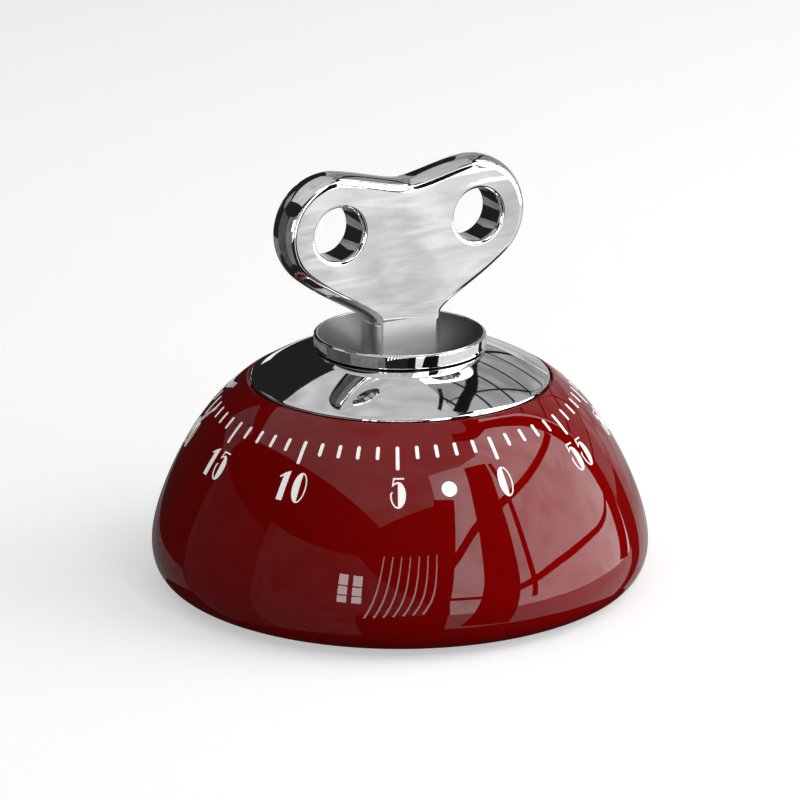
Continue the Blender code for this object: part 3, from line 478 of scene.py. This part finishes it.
def surfaced(name, points, faces, finish, sharp, weld=False):
    """A closed, smooth-shaded object from points in millimetres.

    It is creased where its faces meet at more than the angle sharp. weld joins points that
    fall together, as they do on a turned piece's axis.
    """
    mesh = bpy.data.meshes.new(name)
    mesh.from_pydata([(x * MM, y * MM, z * MM) for x, y, z in points], [], faces)
    mesh.update()
    body = bmesh.new()
    body.from_mesh(mesh)
    if weld:
        bmesh.ops.remove_doubles(body, verts=body.verts, dist=WELD_GAP * MM)
    bmesh.ops.recalc_face_normals(body, faces=body.faces)
    body.to_mesh(mesh)
    body.free()
    mesh.shade_smooth()
    mesh.set_sharp_from_angle(angle=radians(sharp))
    return add_object(name, mesh, finish)


def turned(name, profile, finish, segments=ROUND_STEPS, centre=(0, 0)):
    """A closed (radius, height) profile, down its outer side, turned about an upright axis."""
    points = []
    for i in range(segments):
        c, s = polar(1.0, 360 * i / segments)
        points += [(centre[0] + r * c, centre[1] + r * s, z) for r, z in profile]
    count = len(profile)
    faces = []
    for i in range(segments):
        here = i * count
        there = (i + 1) % segments * count
        for j in range(count):
            k = (j + 1) % count
            faces.append((here + j, here + k, there + k, there + j))
    return surfaced(name, points, faces, finish, TURNED_SHARP, weld=True)


def plate(name, loops, half, stand, finish, segments=6):
    """A flat piece with rounded edges.

    loops are (outline, roll, depth): a counterclockwise outer outline or a clockwise hole, how far
    its edge rolls out beyond the flat faces, and how deep. half is half of the thickness, and
    stand maps a point (x, y, height) of the flat piece into place.
    """
    body = bmesh.new()
    faces_edges = []
    for outline, roll, depth in loops:
        quarter = [pi / 2 * k / segments for k in range(segments + 1)]
        upper = [(roll * cos(a), half - depth + depth * sin(a)) for a in quarter]
        rows = [(swell, -height) for swell, height in upper[::-1]] + upper
        if depth == half:
            rows.pop(segments)
        rings = []
        for swell, height in rows:
            ring = loop_offset(outline, -swell)
            rings.append([body.verts.new(Vector(stand(x, y, height)) * MM) for x, y in ring])
        for low, high in zip(rings, rings[1:]):
            for i, vert in enumerate(low):
                j = (i + 1) % len(low)
                body.faces.new((vert, low[j], high[j], high[i])).smooth = True
        faces_edges.append((rings[0], rings[-1]))
    for side in (0, 1):
        edges = []
        for ends in faces_edges:
            ring = ends[side]
            edges += [body.edges.get((v, ring[(i + 1) % len(ring)])) for i, v in enumerate(ring)]
        bmesh.ops.triangle_fill(body, edges=edges, use_beauty=True)
    bmesh.ops.recalc_face_normals(body, faces=body.faces)
    mesh = bpy.data.meshes.new(name)
    body.to_mesh(mesh)
    body.free()
    return add_object(name, mesh, finish)


def upright(x, y, height):
    """Stands a flat piece in the XZ plane, its thickness along Y."""
    return (x, -height, y)


def lying(level):
    """Lays a flat piece at a level."""
    return lambda x, y, height: (x, y, level + height)


def stands_for(obj, body, slot, *nodes):
    """The piece rides on a body and replaces CAD nodes; its slot is not used."""
    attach(obj, body)
    if nodes:
        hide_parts(*nodes)


# ---------------------------------------------------------------- casing

def dome_curve(upper_steps, middle_steps, lower_steps):
    """The dome's outer line from the cap's edge, past the widest circle, to the rolled-in lip."""
    widest = (DOME_RADIUS, WIDEST_Z)
    line = bezier(DOME_EDGE, *DOME_UPPER_PULL, DOME_SHOULDER, upper_steps)
    line += bezier(DOME_SHOULDER, *DOME_MIDDLE_PULL, widest, middle_steps)[1:]
    line += bezier(widest, *DOME_LOWER_PULL, DOME_LIP, lower_steps)[1:]
    return line


def make_dome(finishes):
    """The lacquered shell, with the step for the cap and the lip rolled in under the base."""
    outer = dome_curve(56, 28, 20)
    inner = offset(dome_curve(20, 8, 10), -DOME_WALL)[::-1]
    ledge_z = DOME_EDGE[1] - LEDGE_DROP
    inner[-1] = (DOME_EDGE[0] + 1.0, ledge_z - DOME_WALL)
    lead = (DOME_EDGE[0] + DOME_LEAD[0], DOME_EDGE[1] + DOME_LEAD[1], 0)
    edge = filleted([(DOME_EDGE[0], ledge_z + 0.2, 0), (*DOME_EDGE, DOME_EDGE_ROUND), lead])
    outer = edge[:-1] + [p for p in outer if p[0] > lead[0]]
    step = [(LEDGE_INNER, ledge_z - DOME_WALL), (LEDGE_INNER, ledge_z), (DOME_EDGE[0], ledge_z)]
    dome = turned("dome_lacquer", outer + inner + step, finishes["lacquer"])
    stands_for(dome, "case", "lacquer", "dome_shell")


def cap_height(radius, sphere=CAP_SPHERE):
    """Height of the cap's surface, or of a sphere about the same centre, at a radius."""
    return CAP_APEX_Z - CAP_SPHERE + sqrt(sphere ** 2 - radius ** 2)


def make_cap(finishes):
    """The convex chrome cap, its rolled edge and its skirt."""
    inside = CAP_SPHERE - CAP_WALL
    roll = CAP_EDGE - CAP_ROLL
    radii = [CAP_HOLE + (roll - CAP_HOLE) * i / 28 for i in range(29)]
    top = [(r, cap_height(r)) for r in radii]
    edge_z = cap_height(CAP_EDGE) - CAP_ROLL_DROP
    rolled = bezier(top[-1], (CAP_EDGE - 0.15, edge_z + 0.32), (CAP_EDGE, edge_z + 0.1),
                    (CAP_EDGE - 0.3, edge_z - 0.4), 8)[1:]
    inner, outer = CAP_SKIRT
    under = [(outer, cap_height(outer, inside)), (outer, CAP_SKIRT_Z), (inner, CAP_SKIRT_Z)]
    under += [(r, cap_height(r, inside)) for r in (inner, CAP_UNDER_RADIUS, CAP_HOLE)]
    cap = turned("cap_chrome", top + rolled + under, finishes["chrome"])
    stands_for(cap, "case", "chrome", "top_cap")


def make_cup(finishes):
    """The chrome dish: a turned band with a rounded rim, and a satin bowl down to the hub, its metal
    darkened as painted shade in the hollow.
    """
    inner_rim = CUP_RADIUS - CUP_RIM
    bowl = bezier((inner_rim, CUP_RIM_Z - 0.1), *CUP_BOWL_PULL, (CUP_BOWL_FOOT, CUP_FLOOR_Z), 30)
    below = [p for p in offset(bowl, CUP_WALL) if p[0] < CUP_INNER_CORNER[0] - 0.1]
    rim = bezier(bowl[0], (inner_rim + 0.1, CUP_RIM_Z + 0.08), (CUP_RADIUS - 0.3, CUP_RIM_Z + 0.1),
                 (CUP_RADIUS - 0.02, CUP_RIM_Z - 0.24), 10)
    band = filleted([(CUP_RADIUS, CUP_RIM_Z - 0.5, 0), (CUP_RADIUS, CUP_BAND_Z, CUP_BAND_ROUND),
                     (*CUP_INNER_CORNER, 0)])
    hub = [(CUP_HUB, CUP_FLOOR_Z - CUP_HUB_DEPTH), (CUP_HUB, CUP_FLOOR_Z)]
    profile = rim + band + below + hub + bowl[:0:-1]
    cup = turned("cup_chrome", profile, finishes["chrome"], 192)
    # The bowl's upward faces take the darkened satin metal: painted shade inside the cup
    cup.data.materials.append(finishes["satin_chrome_painted_shade"])
    for face in cup.data.polygons:
        if face.normal.z > 0.1 and hypot(face.center.x, face.center.y) < (inner_rim - 0.1) * MM:
            face.material_index = 1
    stands_for(cup, "key_train", "chrome", "key_cup")


# ---------------------------------------------------------------- key

def key_outline():
    """The key's face, counterclockwise: two lobes, the notch between them, the waist and stem."""
    lobe = arc(LOBE_CENTRE, LOBE_RADIUS, LOBE_START, LOBE_END, 64)
    top = bezier((0.0, NOTCH_Z), *NOTCH_PULL, lobe[0], 24)
    reach = polar(WAIST_REACH, LOBE_END - 90)
    leave = (lobe[-1][0] + reach[0], lobe[-1][1] + reach[1])
    waist = bezier(lobe[-1], leave, (STEM_HALF, STEM_TOP_Z + WAIST_DROP),
                   (STEM_HALF, STEM_TOP_Z), 30)
    corner = (STEM_HALF - STEM_CORNER, STEM_Z + KEY_ROLL + STEM_CORNER)
    right = top + lobe[1:] + waist[1:] + arc(corner, STEM_CORNER, 0, -90, 10)
    left = [(-x, z) for x, z in right[1:]]
    return (right + left[::-1])[::-1]


def make_key(finishes):
    """The cast key, rounded along its edges and round its two finger holes."""
    loops = [(key_outline(), KEY_ROLL, KEY_HALF)]
    for side in (-1, 1):
        hole = circle((side * LOBE_CENTRE[0], LOBE_CENTRE[1]), FINGER_HOLE + FINGER_FLARE, 96)
        loops.append((hole[::-1], FINGER_FLARE, FINGER_FLARE))
    key = plate("key_chrome", loops, KEY_HALF, upright, finishes["key_chrome"], 10)
    stands_for(key, "key_train", "chrome", "key")


# ---------------------------------------------------------------- base

def make_base(finishes):
    """The enamelled base plate with its holes and sound slots, and the rubber feet."""
    middle = (BASE_Z[0] + BASE_Z[1]) / 2
    half = (BASE_Z[1] - BASE_Z[0]) / 2
    edge = BASE_EDGE
    loops = [(circle((0, 0), BASE_RADIUS - edge, 192), edge, edge)]
    holes = [circle((0, 0), BELL_HOLE + edge, 32)]
    holes += [circle(polar(FOOT_RING, angle), FOOT_HOLE + edge, 32) for angle in FOOT_ANGLES]
    holes += [circle(polar(SCREW_RING, angle), SCREW_HOLE + edge, 32) for angle in SCREW_ANGLES]
    for i in range(SOUND_SLOTS):
        slot = arc((SLOT_RADII[1], 0), SLOT_HALF + edge, -90, 90, 12)
        slot += arc((SLOT_RADII[0], 0), SLOT_HALF + edge, 90, 270, 12)
        holes.append(placed(slot, (0, 0), 360 * (i + 0.5) / SOUND_SLOTS))
    loops += [(hole[::-1], edge, edge) for hole in holes]
    base = plate("base_enamel", loops, half, lying(middle), finishes["enamel"], 4)
    stands_for(base, "case", "enamel", "base_plate")
    for i, angle in enumerate(FOOT_ANGLES, 1):
        foot = turned(f"foot_rubber_{i}", filleted(FOOT_SHAPE), finishes["rubber"], 64,
                      polar(FOOT_RING, angle))
        stands_for(foot, "case", "rubber", f"foot_{i}")


# ---------------------------------------------------------------- printed scale

def number_shapes():
    """The outlines of each numeral, in its own frame: x to the right, y down, first loop outside.

    The style has one thick side and hairline curves, like numerals of the 1930s.
    """
    thin = 0.3
    mid = DIGIT_HEIGHT / 2
    tall = DIGIT_HEIGHT
    zero = [
        ellipse((0, mid), (1.45, mid), -90, 270, 48)[:-1],
        ellipse((0.05, mid), (1.45 - thin, mid - thin), -90, 90, 24),
    ]
    one = [[(1.05, 0.0), (0.62, tall), (-0.68, tall), (-0.25, 1.15), (-0.95, 1.62), (-1.12, 1.42),
            (-0.1, 0.55)]]
    two = [
        [(0.05, 0.0)] + ellipse((0.05, 1.75), (1.35, 1.75), -90, 35, 20)
        + [(-0.75, 5.55), (1.4, 5.55), (1.4, tall), (-1.45, tall), (-1.3, 5.5), (0.05, 3.1), (0.05, thin)]
        + ellipse((0.05, 1.6), (1.05, 1.6 - thin), -90, -190, 10)
        + ellipse((0.05, 1.6), (1.35, 1.6), -190, -90, 10)[:-1],
    ]
    three = [
        [(-0.1, 0.0)] + ellipse((-0.1, 1.45), (1.35, 1.45), -90, 70, 18)
        + ellipse((-0.1, 4.35), (1.6, 1.65), -70, 90, 20)
        + ellipse((-0.1, 4.35), (1.45, 1.65), 90, 170, 10)
        + ellipse((-0.1, 4.35), (1.15, 1.65 - thin), 170, 90, 10)
        + [(-0.1, 2.95), (-0.6, 2.95), (-0.6, 2.7), (-0.1, 2.7), (-0.1, thin)]
        + ellipse((-0.1, 1.45), (0.95, 1.45 - thin), -92, -170, 8)
        + ellipse((-0.1, 1.45), (1.25, 1.45), -170, -92, 8),
    ]
    four = [
        [(1.0, 0.0), (1.0, 4.3), (1.5, 4.3), (1.5, 4.6), (1.0, 4.6), (1.0, tall), (-0.25, tall),
         (-0.25, 4.6), (-1.6, 4.6), (-1.6, 4.3), (0.65, 0.0)],
        [(-0.25, 2.35), (-1.27, 4.3), (-0.25, 4.3)],
    ]
    bowl = (0.0, 3.4)
    five = [
        [(-0.86, 0.0), (1.15, 0.0), (1.15, thin), (-0.6, thin), (-0.83, 1.2), (-0.45, 0.93)]
        + ellipse(bowl, (1.5, tall - bowl[1]), -90, 90, 28)
        + ellipse(bowl, (1.5, tall - bowl[1]), 90, 186, 16) + [(-1.1, 2.72), (-0.98, 2.9)]
        + ellipse(bowl, (1.5 - thin, tall - bowl[1] - thin), 184, 92, 16)
        + [(0.0, tall - thin), (0.0, 1.12), (-0.6, 1.35), (-1.05, 1.75), (-1.12, 1.55)],
    ]
    return {"0": zero, "1": one, "2": two, "3": three, "4": four, "5": five}


def dome_walk():
    """The dome's outer line with its length from the upper edge at each point."""
    line = dome_curve(240, 20, 1)
    walked = [0.0]
    for (r0, z0), (r1, z1) in zip(line, line[1:]):
        walked.append(walked[-1] + hypot(r1 - r0, z1 - z0))
    return line, walked


def on_dome(walk, down, across, minute, lift):
    """The point a distance down from the dome's upper edge and across from a minute's line."""
    line, walked = walk
    angle = 270 + PRINT_TURN - 360 / MINUTES * minute
    away = radians(angle - PRINT_SHIFT[1])
    down += PRINT_SHIFT[0] * cos(away)
    across -= PRINT_SHIFT[0] * sin(away)
    i = 1
    while walked[i] < down:
        i += 1
    share = (down - walked[i - 1]) / (walked[i] - walked[i - 1])
    (r0, z0), (r1, z1) = line[i - 1], line[i]
    length = hypot(r1 - r0, z1 - z0)
    r = r0 + (r1 - r0) * share
    z = z0 + (z1 - z0) * share
    out = r + (z0 - z1) / length * lift
    return (*polar(out, angle + degrees(across / r)), z + (r1 - r0) / length * lift)


def printed(name, shapes, finishes):
    """Paint on the dome. shapes are (loops, minute), each loop in (across, down) distances."""
    walk = dome_walk()
    points = []
    faces = []
    for loops, minute in shapes:
        paint = bmesh.new()
        for loop in loops:
            verts = [paint.verts.new((x, y, 0.0)) for x, y in without_repeats(loop)]
            for i, vert in enumerate(verts):
                paint.edges.new((vert, verts[(i + 1) % len(verts)]))
        bmesh.ops.triangle_fill(paint, edges=paint.edges[:], use_beauty=True)
        for axis in (0, 1):
            spread = [v.co[axis] for v in paint.verts]
            cut = PRINT_CELL * (int(min(spread) / PRINT_CELL) - 1)
            while cut < max(spread):
                cut += PRINT_CELL
                normal = Vector((1 - axis, axis, 0))
                geometry = paint.verts[:] + paint.edges[:] + paint.faces[:]
                bmesh.ops.bisect_plane(paint, geom=geometry, plane_co=normal * cut, plane_no=normal)
        bmesh.ops.recalc_face_normals(paint, faces=paint.faces)
        paint.verts.index_update()
        count = len(paint.verts)
        first = len(points)
        for lift in (PRINT_HEIGHT, -PRINT_DEPTH):
            points += [on_dome(walk, v.co.y, v.co.x, minute, lift) for v in paint.verts]
        for face in paint.faces:
            row = [first + v.index for v in face.verts]
            faces.append(row)
            faces.append([i + count for i in reversed(row)])
        for edge in paint.edges:
            if len(edge.link_faces) == 1:
                a, b = (first + v.index for v in edge.verts)
                faces.append([a, b, b + count, a + count])
        paint.free()
    obj = surfaced(name, points, faces, finishes["print"], PRINT_SHARP)
    stands_for(obj, "case", "print")


def tick(length):
    """A mark with round ends."""
    half = TICK_WIDTH / 2
    top = TICK_TOP + half
    foot = TICK_TOP + length - half
    return [arc((0, top), half, 180, 360, 10) + arc((0, foot), half, 0, 180, 10)]


def make_scale(finishes):
    """The minute marks, the numbers at every fifth minute, and the round dot."""
    minor = [(tick(MINOR_TICK), m) for m in range(MINUTES) if m % 5]
    major = [(tick(MAJOR_TICK), m) for m in range(0, MINUTES, 5)]
    printed("scale_minor_marks", minor, finishes)
    printed("scale_major_marks", major, finishes)
    digits = number_shapes()
    numbers = []
    for minute in range(0, MINUTES, 5):
        text = str(minute)
        for i, digit in enumerate(text):
            shift = (i - (len(text) - 1) / 2) * 2 * DIGIT_SPREAD
            loops = [[(x + shift, y + NUMBER_TOP) for x, y in loop] for loop in digits[digit]]
            numbers.append((loops, minute))
    printed("scale_numbers", numbers, finishes)
    printed("scale_dot", [([circle((0, DOT_DOWN), DOT_RADIUS, 40)], DOT_MINUTE)], finishes)


# ---------------------------------------------------------------- CAD pieces that stay

def finish_cad_nodes(finishes):
    """Each CAD node takes the material of its slot in the record."""
    for part in frame["record"]["subparts"]:
        mesh = frame["nodes"][part["node"]].data
        mesh.materials.clear()
        mesh.materials.append(finishes[part["material_slot"]])


# ---------------------------------------------------------------- studio

def glow(name, strength, cloudy=0.0, scale=3.0):
    """An even light surface, or one with soft drifts in it."""
    mat = bpy.data.materials.new(name)
    mat.use_nodes = True
    nodes = mat.node_tree.nodes
    links = mat.node_tree.links
    nodes.clear()
    light = nodes.new("ShaderNodeEmission")
    out = nodes.new("ShaderNodeOutputMaterial")
    links.new(light.outputs["Emission"], out.inputs["Surface"])
    light.inputs["Strength"].default_value = strength
    if cloudy:
        drift = noise(nodes, links, scale, 3.0, (1, 1, 1), 1.5)
        stops = ((0.35, (1 - cloudy,) * 3), (0.6, (1.0, 1.0, 1.0)))
        links.new(ramp(nodes, links, drift, stops), light.inputs["Color"])
    return mat


def toward(azimuth, elevation, distance):
    """The point at a distance in metres from the origin, in a direction in degrees."""
    x, y = polar(distance * cos(radians(elevation)), azimuth)
    return Vector((x, y, distance * sin(radians(elevation))))


def studio_mesh(name, points, faces, finish):
    """A studio card: seen in reflections and as light, but not by the camera."""
    mesh = bpy.data.meshes.new(name)
    mesh.from_pydata(points, [], faces)
    obj = add_object(name, mesh, finish)
    obj.visible_camera = False
    return obj


def panes(name, azimuths, elevations, finish, columns=1, rows=1, gaps=(0, 0), slope=0, distance=1.1):
    """Light panes round the timer between two azimuths and two elevations.

    gaps are the shares left dark between columns and between rows. slope is how many degrees
    the top falls from the first azimuth to the second.
    """
    points = []
    faces = []
    width = azimuths[1] - azimuths[0]
    height = elevations[1] - elevations[0]
    steps = CARD_STEPS
    for i in range(columns):
        for j in range(rows):
            first = len(points)
            for k in range(steps + 1):
                for m in range(steps + 1):
                    across = (i + (1 - gaps[0]) * k / steps) / columns
                    up = (j + (1 - gaps[1]) * m / steps) / rows
                    azimuth = azimuths[0] + width * across
                    elevation = elevations[0] + (height - slope * across) * up
                    points.append(toward(azimuth, elevation, distance))
            for k in range(steps):
                for m in range(steps):
                    a = first + k * (steps + 1) + m
                    faces.append((a, a + 1, a + steps + 2, a + steps + 1))
    return studio_mesh(name, points, faces, finish)


def bar(name, route, widths, finish, distance=0.95):
    """A bar along (azimuth, elevation) points, its width going from one angle to another."""
    line = []
    last = len(route) - 1
    for i in range(last):
        a, b, c, d = (Vector(route[min(max(i + k, 0), last)]) for k in (-1, 0, 1, 2))
        for t in (k / BAR_STEPS for k in range(BAR_STEPS)):
            bend = (c - a) * t + (2 * a - 5 * b + 4 * c - d) * t ** 2 + (3 * b - a - 3 * c + d) * t ** 3
            line.append(b + bend / 2)
    line.append(Vector(route[-1]))
    spine = [toward(*point, distance) for point in line]
    points = []
    for i, here in enumerate(spine):
        ahead = spine[min(i + 1, len(spine) - 1)] - spine[max(i - 1, 0)]
        width = widths[0] + (widths[1] - widths[0]) * i / (len(spine) - 1)
        side = ahead.cross(here).normalized() * distance * radians(width) / 2
        points += [here - side, here + side]
    faces = [(2 * i, 2 * i + 1, 2 * i + 3, 2 * i + 2) for i in range(len(spine) - 1)]
    return studio_mesh(name, points, faces, finish)


def make_fill_light():
    """A square light at the upper right that only adds light: nothing mirrors it."""
    data = bpy.data.lights.new("fill", "AREA")
    data.shape = "RECTANGLE"
    data.size = data.size_y = FILL_SIZE
    data.energy = FILL_POWER
    fill = bpy.data.objects.new("fill", data)
    fill.location = FILL_PLACE
    fill.rotation_euler = (-Vector(FILL_PLACE)).to_track_quat("-Z", "Y").to_euler()
    fill.visible_glossy = False
    bpy.context.scene.collection.objects.link(fill)


def make_floor():
    """A plain pale floor that throws no light or image back up at the timer."""
    mat, nodes, links, bsdf = shader("pale_floor", (0.8, 0.8, 0.8), 0.0, 0.8)
    bsdf.inputs["Specular IOR Level"].default_value = 0.1
    bsdf.inputs["Emission Color"].default_value = (1.0, 1.0, 1.0, 1.0)
    bsdf.inputs["Emission Strength"].default_value = FLOOR_LIGHT
    patch = noise(nodes, links, 2.0, 4.0)
    stops = ((0.3, (0.8, 0.8, 0.8)), (0.7, (0.83, 0.83, 0.83)))
    links.new(ramp(nodes, links, patch, stops), bsdf.inputs["Base Color"])
    corners = [(x * FLOOR_HALF, y * FLOOR_HALF, 0) for x, y in ((-1, -1), (1, -1), (1, 1), (-1, 1))]
    mesh = bpy.data.meshes.new("floor")
    mesh.from_pydata(corners, [], [(0, 1, 2, 3)])
    floor = add_object("floor", mesh, mat)
    floor.visible_glossy = False
    floor.visible_diffuse = False


def make_world():
    """A dim room, which the camera sees as pale as the floor."""
    world = bpy.data.worlds.new("studio")
    bpy.context.scene.world = world
    world.use_nodes = True
    nodes = world.node_tree.nodes
    links = world.node_tree.links
    nodes.clear()
    out = nodes.new("ShaderNodeOutputWorld")
    room = nodes.new("ShaderNodeBackground")
    room.inputs["Color"].default_value = (1.0, 1.0, 1.0, 1.0)
    room.inputs["Strength"].default_value = ROOM_LIGHT
    pale = nodes.new("ShaderNodeBackground")
    pale.inputs["Color"].default_value = BACKDROP
    pick = nodes.new("ShaderNodeMixShader")
    path = nodes.new("ShaderNodeLightPath")
    links.new(path.outputs["Is Camera Ray"], pick.inputs["Fac"])
    links.new(room.outputs["Background"], pick.inputs[1])
    links.new(pale.outputs["Background"], pick.inputs[2])
    links.new(pick.outputs["Shader"], out.inputs["Surface"])


def make_windows():
    """Light from a tall arched window on the right, behind dark glazing bars."""
    panes("window", (-98, 7), (-9, 62), glow("window_glow", 3.1, 0.25))
    dark = shader("glazing_bar", (0.004, 0.004, 0.004), 0.0, 0.9)[0]
    bar("bar_left", [(-93, 44), (-97, 29), (-100, 17), (-103, 0), (-106, -28)], (9, 9), dark)
    bar("bar_middle", [(-62, 53), (-68.5, 39), (-71.5, 25), (-73.5, 10), (-77, -8), (-80, -30)],
        (10, 22), dark)
    bar("bar_middle_edge", [(-52, 50), (-56, 36), (-58, 22), (-58, 6), (-59, -3)], (2, 3), dark)
    bar("bar_cross", [(-3, 34), (-30, 36), (-60, 35), (-80, 31), (-98, 20)], (3, 3), dark)
    bar("bar_cross_low", [(-68, 0), (-84, 4), (-104, 6)], (2, 2), dark)
    bar("bar_low_arch", [(3, 9), (-1, 7.5), (-6, 6.5), (-13, 7), (-19, 8)], (1.3, 1.6), dark)
    bar("bar_low_arch_end", [(-19, 8), (-27, 9), (-37, 9.5), (-48, 9), (-67, 5)], (1.6, 3.6), dark)
    bar("bar_arch", [(-46, 70), (-34, 65), (-14, 62), (-3, 50), (1, 37), (2.5, 20), (3, 5), (0, -9)],
        (5.5, 8), dark)


def make_room():
    """What the timer's other sides reflect: pale walls, a glazed roof and small bright windows."""
    wall = glow("wall_glow", 0.2, 0.4)
    panes("pale_wall", (172, 221), (-48, 25), wall, distance=1.3)
    panes("pale_wall_right", (221, 258), (-8, 25), wall, slope=25, distance=1.3)
    panes("dim_wall", (128, 172), (-48, 22), glow("dim_wall_glow", 0.09, 0.3), distance=1.3)
    panes("front_glow", (-99, 9), (-32, -9), glow("front_glow", 0.9, 0.35, 20.0))
    panes("right_glow", (20, 62), (-30, 12), glow("right_glow", 0.65, 0.5, 6.0))
    panes("roof_glazing", (8, 66), (2, 76), glow("roof_glow", 0.42, 0.4), 3, 7, (0.06, 0.1))
    panes("rear_glow", (64, 127), (-26, -11), glow("rear_glow", 0.2, 0.4, 12.0))
    panes("grid_window", (-147, -134), (3, 19), glow("grid_glow", 7.0), 2, 3, (0.35, 0.12))
    slit = glow("slit_glow", 4.0)
    for i in range(7):
        start = -135 + 4.2 * i
        bar(f"slit_{i + 1}", [(start, -12 + i), (start + 5, 10), (start + 8, 26)], (1.0, 0.4), slit)
    panes("back_left_window", (104, 124), (20, 34), glow("back_glow", 0.3, 0.5))
    streak = glow("streak_glow", 0.9)
    for i in range(3):
        start = 60 + 7 * i
        bar(f"streak_{i + 1}", [(start, -12), (start + 8, -4), (start + 15, 6)], (1, 1.2), streak)
    dark = bpy.data.materials["glazing_bar"]
    bar("roof_beam", [(47, 24), (41, 40), (28, 55), (22, 61), (12, 67)], (2.5, 4), dark)
    bar("roof_beam_thin", [(39, 61), (30, 67), (20, 73)], (1.2, 1.2), dark)


def make_ceiling():
    """A wide softbox overhead, with a faint unevenness."""
    (left, right), (front, back) = CEILING_X, CEILING_Y
    corners = [(x, y, CEILING_Z)
               for x, y in ((left, front), (right, front), (right, back), (left, back))]
    studio_mesh("ceiling_softbox", corners, [(0, 1, 2, 3)], glow("ceiling_glow", 0.62, 0.3, 2.2))


def make_studio():
    """The floor, the room that the timer mirrors, and the lights."""
    make_floor()
    make_world()
    make_windows()
    make_room()
    make_ceiling()
    make_fill_light()


def make_camera():
    """The camera at the left front, a little above the timer."""
    data = bpy.data.cameras.new("camera")
    data.lens = LENS
    data.sensor_width = 36.0
    camera = bpy.data.objects.new("camera", data)
    bpy.context.scene.collection.objects.link(camera)
    target = Vector((0, 0, TARGET_Z * MM))
    back = toward(270 - VIEW_TURN, VIEW_RISE, VIEW_DISTANCE * MM)
    camera.location = target + back
    camera.rotation_euler = (-back).to_track_quat("-Z", "Y").to_euler()
    bpy.context.scene.camera = camera
    bpy.context.scene.view_settings.view_transform = "Standard"


def main():
    """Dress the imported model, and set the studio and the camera."""
    finishes = make_finishes()
    finish_cad_nodes(finishes)
    make_dome(finishes)
    make_cap(finishes)
    make_cup(finishes)
    make_key(finishes)
    make_base(finishes)
    make_scale(finishes)
    make_studio()
    make_camera()


main()
